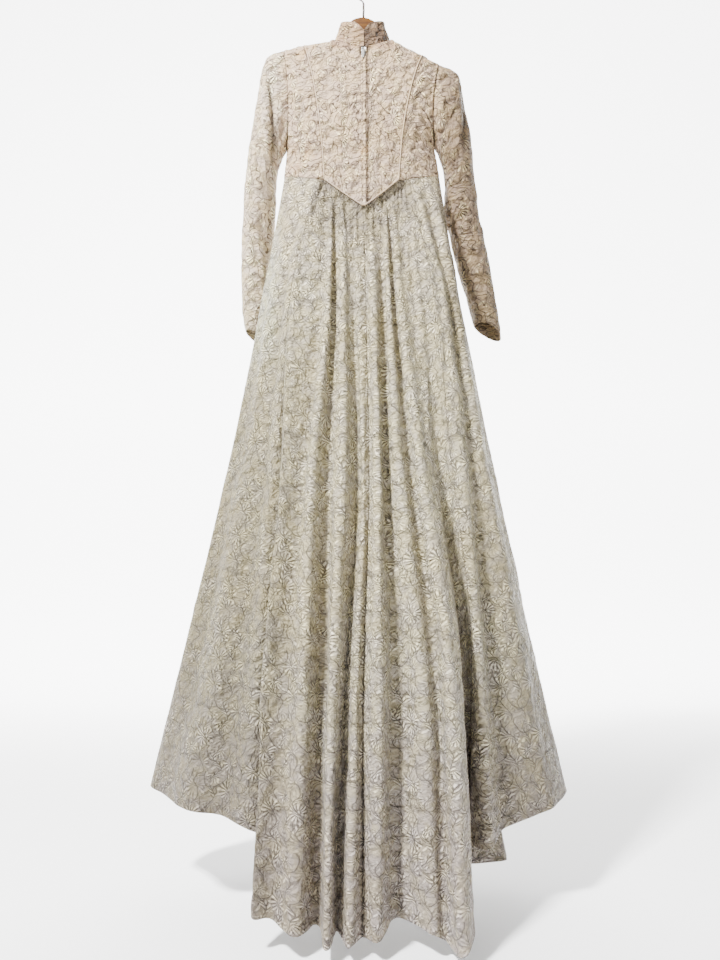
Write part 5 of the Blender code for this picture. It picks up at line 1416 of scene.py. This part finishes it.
def runBuild(name, paths, build, values):
    # makes the paths, grows the build along them and keeps only the plain mesh
    verts, edges = [], []
    for path in paths:
        edges += [(len(verts) + k, len(verts) + k + 1) for k in range(len(path) - 1)]
        verts += [tuple(point) for point in path]
    mesh = bpy.data.meshes.new(name)
    mesh.from_pydata(verts, edges, [])
    item = placeObject(name, mesh)
    modifier = item.modifiers.new("build", "NODES")
    modifier.node_group = build
    for socket in build.interface.items_tree:
        if socket.in_out == "INPUT" and socket.name in values:
            modifier[socket.identifier] = values[socket.name]
    item.update_tag()
    bpy.context.view_layer.update()
    made = bpy.data.meshes.new_from_object(item.evaluated_get(bpy.context.evaluated_depsgraph_get()))
    item.modifiers.remove(modifier)
    made.materials.clear()
    made.materials.append(values["Material"])
    made.polygons.foreach_set("material_index", np.zeros(len(made.polygons), dtype=np.int32))
    item.data = made
    return item


def makeStitches(name, lines, material, slotName, step=0.003, length=0.0022, thread=0.0003):
    values = {"Step": step, "Length": length, "Thread": thread, "Material": material}
    return rideDress(runBuild(name, lines, stitchBuild, values))


# Cords, lap and zip

def bodiceFrame(a, rise):
    # points of the bodice's back and their outward directions
    a, rise = np.broadcast_arrays(np.asarray(a, float), np.asarray(rise, float))
    step = np.where(a > 0, -0.006, 0.006)
    point = bodicePoint(a, rise, 1)
    aside = (bodicePoint(a + step, rise, 1) - point) * np.sign(step)[..., None]
    upward = bodicePoint(a, rise + 0.004, 1) - bodicePoint(a, rise - 0.004, 1)
    normal = unit(np.cross(aside, upward))
    return point, normal * np.sign(normal[..., 1:2])


def centreBack(x, z):
    # bodice's back at small x and given heights, by halving
    x, z = np.broadcast_arrays(np.asarray(x, float), np.asarray(z, float))
    a = x / sided("waist", x) * 0.98
    a = np.where(np.abs(a) < 0.002, 0.002, a)
    low, high = np.zeros(x.shape), np.ones(x.shape)
    for _ in range(24):
        rise = (low + high) / 2
        under = bodicePoint(a, rise, 1)[..., 2] < z
        low, high = np.where(under, rise, low), np.where(under, high, rise)
    _, normal = bodiceFrame(a, np.clip(rise, 0.005, 0.985))
    return np.stack([x, bodicePoint(a, rise, 1)[..., 1], z], axis=-1), unit(normal * (0.0, 1.0, 1.0))


def centreHeights(low, high, count):
    ends = [float(bodicePoint(0.002, rise, 1)[2]) for rise in (low, high)]
    return np.linspace(*ends, count)


cordValues = {
    "radius": 0.0014, "lift": 0.0017, "start": 0.010, "end": 0.985, "waistRise": 0.006, "waistLift": 0.0021,
    "pointRise": 0.0016, "pointHalf": 0.004,
}


def makeCords(material):
    v = cordValues
    rises = np.linspace(v["start"], v["end"], 160)
    paths = {}
    for name, a in (("princess_cord_left", 0.5), ("princess_cord_right", -0.5)):
        point, normal = bodiceFrame(a, rises)
        paths[name] = point + normal * v["lift"]
    point, normal = bodiceFrame(np.linspace(0.5, -0.5, 181), v["waistRise"])
    waist = point + normal * v["waistLift"]
    # the point of the waist is turned over a finger's breadth of cord, not bent sharp
    waist[..., 2] += v["pointRise"] * bell(waist[..., 0], v["pointHalf"])
    paths["waist_cord"] = waist
    for name, path in paths.items():
        item = runBuild(name + "_piping", [path], cordBuild, {"Radius": v["radius"], "Material": material})
        dressPiece(item, name, (material,))


lapValues = {
    "left": 0.0082, "right": -0.0052, "low": 0.012, "high": 0.937, "rows": 190, "columns": 27,
    # across the lap: share from its sewn side to its free edge, height over the bodice
    "profile": [(0.00, -0.0006), (0.10, 0.0002), (0.28, 0.0011), (0.42, 0.0008), (0.50, 0.0005),
                (0.60, 0.0010), (0.76, 0.0017), (0.90, 0.0019), (0.97, 0.0014), (1.00, 0.0004)],
    # size, length and seed of the free edge's waves
    "sways": [(0.0008, 0.026, 11), (0.0003, 0.007, 4)],
    "ripple": 0.0006, "stitchLine": 0.50, "stitchLift": 0.0007, "edgeLine": (0.95, 1.0, 0.11),
    "dip": (0.6, 0.50, 0.07),
}


def makeLap(materials, thread):
    v = lapValues
    z = centreHeights(v["low"], v["high"], v["rows"])[:, None]
    table = np.array(v["profile"])
    share = np.linspace(0, 1, v["columns"])
    profile = hermite(table[:, 0], table[:, 1:2], share)[:, 0]
    sway = sum(size * softWaves(z * 0, z, length, seed) for size, length, seed in v["sways"])
    x = mix(v["left"], v["right"] + sway, share[None, :])
    points, normals = centreBack(x, z)
    ripple = v["ripple"] * softWaves(x * 2, z, 0.012, 5) * smooth(share / 0.3)[None, :]
    points = points + normals * (profile[None, :] + ripple - clothValues["lift"])[..., None]
    normals, outward = faceOut(points, (0, 1, 0))
    # painted shadow along the lap's free edge and painted shade in the dip at its stitching
    shade = lineShade(share, v["edgeLine"]) + lineShade(share, v["dip"])
    lap = makeShell("zip_lap_cloth", points, normals, points[..., [0, 2]], outward,
                    thickness=clothValues["thin"], shade=np.broadcast_to(shade[None, :], x.shape))
    dressPiece(lap, "zip_lap", materials)
    column = round(v["stitchLine"] * (v["columns"] - 1))
    line = points[:, column] + normals[:, column] * v["stitchLift"]
    return makeStitches("lap_stitches", [line], thread, "cloth")


tapeValues = {
    "half": 0.0090, "lift": -0.0020, "low": 0.035, "high": 0.985, "rows": 60, "columns": 9,
    "coilStep": 0.0013, "coilPlace": 0.0008, "coilLift": -0.0014, "coilHalf": 0.0009, "coilEnd": 0.002,
    "thread": {"step": 0.0009, "length": 0.0013, "thread": 0.00042},
}


def makeTape(tapeMaterial, coilMaterial):
    v = tapeValues
    z = centreHeights(v["low"], v["high"], v["rows"])
    x = np.linspace(v["half"], -v["half"], v["columns"])
    points, normals = centreBack(x[None, :], z[:, None])
    points = points + normals * v["lift"]
    normals, outward = faceOut(points, (0, 1, 0))
    tape = makeShell("zip_tape_woven", points, normals, points[..., [0, 2]], outward,
                     thickness=clothValues["thin"])
    dressPiece(tape, "zip_tape", (tapeMaterial, tapeMaterial))
    # the closed coil: one turn after another, from side to side
    count = int((z[-1] - z[0]) / v["coilStep"])
    z = np.linspace(z[0] + v["coilEnd"], z[-1] - v["coilEnd"], count)
    lines = []
    for sign in (-1, 1):
        point, normal = centreBack(np.full(count, sign * v["coilPlace"]), z)
        base = point + normal * v["coilLift"]
        base[:, 2] += sign * v["coilStep"] / 4
        lines += [[place - (v["coilHalf"], 0, 0), place + (v["coilHalf"], 0, 0)] for place in base]
    return makeStitches("zip_coil", lines, coilMaterial, "tape", **v["thread"])


# Stitched hems

hemValues = {"thread": {"step": 0.0032, "length": 0.0022, "thread": 0.00028}, "lift": 0.0008}
# piece, distance from its lower edge or the collar's upper edge, columns left out at the start
hemRows = [
    ("skirt_side_left", 0.008, 0), ("train_left", 0.008, 0), ("train_right", 0.008, 0),
    ("skirt_side_right", 0.008, 0), ("skirt_front", 0.008, 0), ("sleeve_left", 0.007, 0),
    ("sleeve_right", 0.007, 0), ("collar_band", 0.004, 14),
]


def makeHem(name, rise, skipped, material):
    # a sleeve's and the skirt's grids run down, so the distance is measured from their last row
    points, normals = [grid[::-1, skipped:] for grid in grids[name]]
    _, up = flatPlaces(points)
    places = points + normals * (clothValues["lift"] + hemValues["lift"])
    line = [[float(np.interp(rise, up[:, column], places[:, column, k])) for k in range(3)]
            for column in range(points.shape[1])]
    if name.startswith("sleeve"):
        line.append(line[0])
    slotName = "skirt_cloth" if name.startswith(("skirt", "train")) else "cloth"
    return makeStitches(name + "_stitches", [line], material, slotName, **hemValues["thread"])


# Hanger

hangerValues = {
    "topZ": -0.075, "tilt": 0.085, "steps": 120, "around": 28, "round": 3.2, "tip": 0.006,
    # along an arm: distance from the middle, top, height, half thickness
    "sections": [
        (0.0000, 0.0000, 0.046, 0.0060), (0.0130, -0.0022, 0.046, 0.0060), (0.0260, -0.0095, 0.044, 0.0060),
        (0.0380, -0.0270, 0.037, 0.0060), (0.0480, -0.0480, 0.029, 0.0060), (0.0560, -0.0665, 0.025, 0.0060),
        (0.0645, -0.0736, 0.023, 0.0060), (0.0900, -0.0800, 0.023, 0.0060), (0.1200, -0.0875, 0.023, 0.0060),
        (0.1450, -0.0938, 0.021, 0.0055), (0.1560, -0.0980, 0.017, 0.0042),
    ],
    "bow": 0.0175, "wire": 0.0016, "wireAround": 16, "stem": 1.5, "stemZ": -0.034,
    # the stem's path below the bow: aside, height
    "stemPath": [(0.0, -0.0746), (0.0004, -0.0660), (-0.0003, -0.0580), (0.0002, -0.0500), (0.0, -0.0425),
                 (0.0030, -0.0352)],
}


def makeTube(name, rings):
    # rings: ring, place round it, xyz; both ends are closed by a fan
    count, around = rings.shape[:2]
    verts = rings.reshape(-1, 3).tolist()
    faces = []
    for k in range(count - 1):
        for i in range(around):
            j = (i + 1) % around
            faces.append((k * around + i, k * around + j, (k + 1) * around + j, (k + 1) * around + i))
    for base, ring in ((0, rings[0]), ((count - 1) * around, rings[-1])):
        verts.append(ring.mean(axis=0).tolist())
        faces += [(base + i, base + (i + 1) % around, len(verts) - 1) for i in range(around)]
    mesh = bpy.data.meshes.new(name)
    mesh.from_pydata(verts, [], faces)
    shape = bmesh.new()
    shape.from_mesh(mesh)
    bmesh.ops.recalc_face_normals(shape, faces=shape.faces)
    shape.to_mesh(mesh)
    shape.free()
    mesh.shade_smooth()
    return placeObject(name, mesh)


def makeHanger(woodMaterial, wireMaterial):
    v = hangerValues
    table = np.array(v["sections"])
    table = np.concatenate([table[:0:-1] * np.array([-1, 1, 1, 1]), table])
    end = table[-1, 0]
    # closer steps at both tips, where the wood rounds off
    x = end * np.sin(np.linspace(-math.pi / 2, math.pi / 2, v["steps"]))
    top, height, half = hermite(table[:, 0], table[:, 1:], x).T
    tip = np.sqrt(np.maximum(1 - np.maximum((np.abs(x) - end + v["tip"]) / v["tip"], 0) ** 2, 0.02))
    turn = np.arange(v["around"]) * 2 * math.pi / v["around"]
    wide, tall = [np.sign(part) * np.abs(part) ** (2 / v["round"]) for part in (np.cos(turn), np.sin(turn))]
    middle = v["topZ"] + top + v["tilt"] * x - height / 2
    rings = np.stack(np.broadcast_arrays(
        x[:, None], (half * tip)[:, None] * wide[None, :],
        middle[:, None] + (height / 2 * tip)[:, None] * tall[None, :]), axis=-1)
    dressPiece(makeTube("hanger_wood_smooth", rings), "hanger_wood", (woodMaterial,))
    bow = np.radians(np.arange(-55, 202, 8))
    bowPath = zip(v["bow"] * np.cos(bow), v["wire"] - v["bow"] + v["bow"] * np.sin(bow))
    path = smoothPath([*v["stemPath"], *bowPath], 4)
    line = np.stack([path[:, 0], np.zeros(len(path)), path[:, 1]], axis=-1)
    forward = np.array([0.0, 1.0, 0.0])
    aside = np.cross(unit(np.gradient(line, axis=0)), forward)
    left = len(line) - 1 - np.arange(len(line))
    radius = v["wire"] * np.sqrt(np.clip(1 - (np.maximum(3 - left, 0) / 3.2) ** 2, 0.02, 1))
    # the stem is the thicker, screwed end of the wire
    radius = radius * mix(1.0, v["stem"], smooth((v["stemZ"] - line[:, 2]) / 0.010))
    turn = (np.arange(v["wireAround"]) * 2 * math.pi / v["wireAround"])[None, :, None]
    rings = line[:, None] + radius[:, None, None] * (np.cos(turn) * aside[:, None] + np.sin(turn) * forward)
    dressPiece(makeTube("hanger_hook_wire", rings), "hanger_hook", (wireMaterial,))


# Plain materials

twillValues = {"distortion": 1.5, "detail": 2.0, "wear": 90.0, "relief": 0.00012, "roughness": 0.75}
plainValues = {
    "piping": {"colour": (0.58, 0.46, 0.325), "dark": (0.42, 0.32, 0.215), "twill": 420.0},
    "sewing thread": {"colour": (0.60, 0.48, 0.34), "dark": (0.40, 0.31, 0.21), "twill": 900.0},
    "zip tape": {"colour": (0.62, 0.60, 0.56), "dark": (0.46, 0.44, 0.40), "twill": 500.0},
}


def plainCloth(name):
    # cord covers, threads and tape: an even twill seen close
    v = {**twillValues, **plainValues[name]}
    material, tree, shader = newMaterial(name, {**clothSheen, "Roughness": v["roughness"]})
    place = addNode(tree, "ShaderNodeTexCoord", output="Object")
    twill = addNode(tree, "ShaderNodeTexWave",
                    {"Vector": place, "Scale": v["twill"], "Distortion": v["distortion"],
                     "Detail": v["detail"]}, "Fac", bands_direction="DIAGONAL")
    share = (twill + noiseOn(place, v["wear"], 3.0)) * 0.5
    colour = blend(tree, share, v["dark"], v["colour"])
    feed(tree, useGroup(tree, ageingAndPaintedLight, {"Colour": colour, "Place": place})["Colour"], shader["Base Color"])
    addRelief(tree, twill * v["relief"], shader)
    return material


woodValues = {
    "light": (0.112, 0.042, 0.0028), "dark": (0.060, 0.020, 0.0015), "line": (0.03, 0.008, 0.002),
    "roughness": 0.4, "uneven": 0.25, "grain": (0.10, 1.0, 1.0), "grainRamp": (0.35, 0.68),
    "poreRamp": (0.60, 0.72), "poreShare": 0.7, "relief": 0.00012,
}


def woodMaterial():
    v = woodValues
    material, tree, shader = newMaterial("varnished wood", {"Coat Weight": 0.06, "Coat Roughness": 0.22,
                                                            "Specular IOR Level": 0.2})
    place = addNode(tree, "ShaderNodeTexCoord", output="Object")
    stretched = addNode(tree, "ShaderNodeMapping", {"Vector": place, "Scale": v["grain"]}, 0)
    broad = noiseOn(stretched, 130.0, 4.0, 0.6)
    pores = ramp(noiseOn(stretched, 900.0), *v["poreRamp"])
    colour = blend(tree, ramp(broad, *v["grainRamp"]), v["dark"], v["light"])
    feed(tree, blend(tree, pores * v["poreShare"], colour, v["line"]), shader["Base Color"])
    feed(tree, noiseOn(place, 70.0, 3.0) * v["uneven"] + v["roughness"], shader["Roughness"])
    addRelief(tree, (broad - pores) * v["relief"], shader)
    return material


scuffValues = {"ramp": (0.52, 0.66), "share": 0.8, "rougher": 0.25, "relief": -0.00004}
metalValues = {
    "zip coil": {"colour": (0.74, 0.73, 0.70), "worn": (0.60, 0.58, 0.54), "metallic": 0.0,
                 "roughness": 0.38},
    # a greyed white: partly its own colour, partly painted shade, as the slider and pull sit in shade at the
    # collar's opening
    "white enamel": {"colour": (0.34, 0.325, 0.30), "worn": (0.20, 0.185, 0.165), "metallic": 0.1,
                     "roughness": 0.36},
    "dull wire": {"colour": (0.018, 0.010, 0.006), "worn": (0.045, 0.017, 0.006), "metallic": 0.3,
                  "roughness": 0.5},
}


def metalMaterial(name):
    # dull wire, enamelled metal or its plastic like, scuffed through in places
    v = {**scuffValues, **metalValues[name]}
    material, tree, shader = newMaterial(name, {"Metallic": v["metallic"]})
    place = addNode(tree, "ShaderNodeTexCoord", output="Object")
    spots = ramp(noiseOn(place, 600.0, 4.0, 0.65), *v["ramp"])
    feed(tree, blend(tree, spots * v["share"], v["colour"], v["worn"]), shader["Base Color"])
    feed(tree, spots * v["rougher"] + v["roughness"], shader["Roughness"])
    addRelief(tree, spots * v["relief"], shader)
    return material


# Stage

stageValues = {
    "cameraPlace": (0.008, 1.51, -1.2445), "cameraPitch": 5.0, "lens": 26.925,
    "floorZ": -1.93, "floorSize": 7.0, "backdropY": -1.6, "backdropTop": 6.0, "bend": 1.6, "backdrop": 4.5,
    "ambient": 0.29, "wallGlow": 5.0,
}
# lamps: place, aim, size, power
lampRows = [
    ("window", (1.75, 1.8, 2.0), (0, 0.05, -0.7), 0.42, 740.0),
    ("fill", (-2.2, 1.8, -0.8), (0, 0.05, -1.0), 1.8, 12.0),
    ("rim", (-1.6, -1.5, 0.9), (0, 0.05, -0.8), 1.0, 22.0),
]


def makeCamera():
    v = stageValues
    camera = bpy.data.cameras.new("view")
    camera.lens = v["lens"]
    camera.sensor_width = 36.0
    camera.clip_start = 0.05
    item = placeObject("view", camera)
    item.location = v["cameraPlace"]
    item.rotation_euler = (math.radians(90 + v["cameraPitch"]), 0, math.radians(180))
    bpy.context.scene.camera = item
    return item


def makeFloor():
    # a floor that curves up into a backdrop
    v = stageValues
    size, bend = v["floorSize"], v["bend"]
    curve = np.radians(np.linspace(0, 90, 25))
    profile = [(size, v["floorZ"]), *zip(v["backdropY"] - bend * np.sin(curve),
                                         v["floorZ"] + bend * (1 - np.cos(curve))),
               (v["backdropY"] - bend, v["backdropTop"])]
    ground = bpy.data.meshes.new("floor")
    ground.from_pydata([(x, y, z) for y, z in profile for x in (-size, size)], [],
                       [(2 * k, 2 * k + 1, 2 * k + 3, 2 * k + 2) for k in range(len(profile) - 1)])
    ground.shade_smooth()
    material, tree, shader = newMaterial("floor", {"Base Color": (0.95, 0.95, 0.95, 1.0), "Roughness": 0.9,
                                                   "Emission Color": (1.0, 1.0, 1.0, 1.0)})
    # the backdrop glows softly well behind the dress
    _, y, _ = axesOf(addNode(tree, "ShaderNodeTexCoord", output="Object"))
    feed(tree, ramp(y, -0.4, -2.4) * v["wallGlow"], shader["Emission Strength"])
    ground.materials.append(material)
    return placeObject("floor", ground)


def makeLamp(name, place, aim, size, power):
    lamp = bpy.data.lights.new(name, "AREA")
    lamp.size = size
    lamp.energy = power
    item = placeObject(name, lamp)
    item.location = place
    item.rotation_euler = (Vector(aim) - Vector(place)).to_track_quat("-Z", "Y").to_euler()
    return item


def makeStage():
    v = stageValues
    world = bpy.data.worlds.new("studio")
    world.use_nodes = True
    tree = world.node_tree
    background = tree.nodes["Background"].inputs
    background["Color"].default_value = (1.0, 1.0, 1.0, 1.0)
    seen = addNode(tree, "ShaderNodeLightPath", output="Is Camera Ray")
    feed(tree, seen * (v["backdrop"] - v["ambient"]) + v["ambient"], background["Strength"])
    bpy.context.scene.world = world
    makeCamera()
    makeFloor()
    [makeLamp(*row) for row in lampRows]


bodiceCloth, skirtCloth, wrongSide = [clothMaterial(name) for name in clothLooks]
for row in bodiceTable:
    makeBodice(*row, backCreases if row[1] > 0 else frontCreases, (bodiceCloth, wrongSide))
print("bodice made")
for name, creases in sleeveCreases.items():
    makeSleeve(name, creases, (bodiceCloth, wrongSide))
makeCollar((bodiceCloth, wrongSide))
print("sleeves and collar made")
for row in skirtPanels:
    makeSkirt(*row, (skirtCloth, wrongSide))
print("skirt made")
pipingCloth, threadCloth, tapeCloth = [plainCloth(name) for name in plainValues]
coilPlastic, enamel, wire = [metalMaterial(name) for name in metalValues]
makeCords(pipingCloth)
sewnOn = {
    "zip_lap": [makeLap((bodiceCloth, wrongSide), threadCloth)],
    "zip_tape": [makeTape(tapeCloth, coilPlastic)],
    "centre_back_left": [pieces["princess_cord_left"]],
    "centre_back_right": [pieces["princess_cord_right"], pieces["waist_cord"]],
}
makeHanger(woodMaterial(), wire)
for name in ("zip_slider", "zip_pull"):
    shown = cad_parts[name].data.materials
    shown.clear()
    shown.append(enamel)
print("cords, zip and hanger made")
for name, rise, skipped in hemRows:
    sewnOn[name] = [makeHem(name, rise, skipped, threadCloth)]
makeStage()
print("stage set")
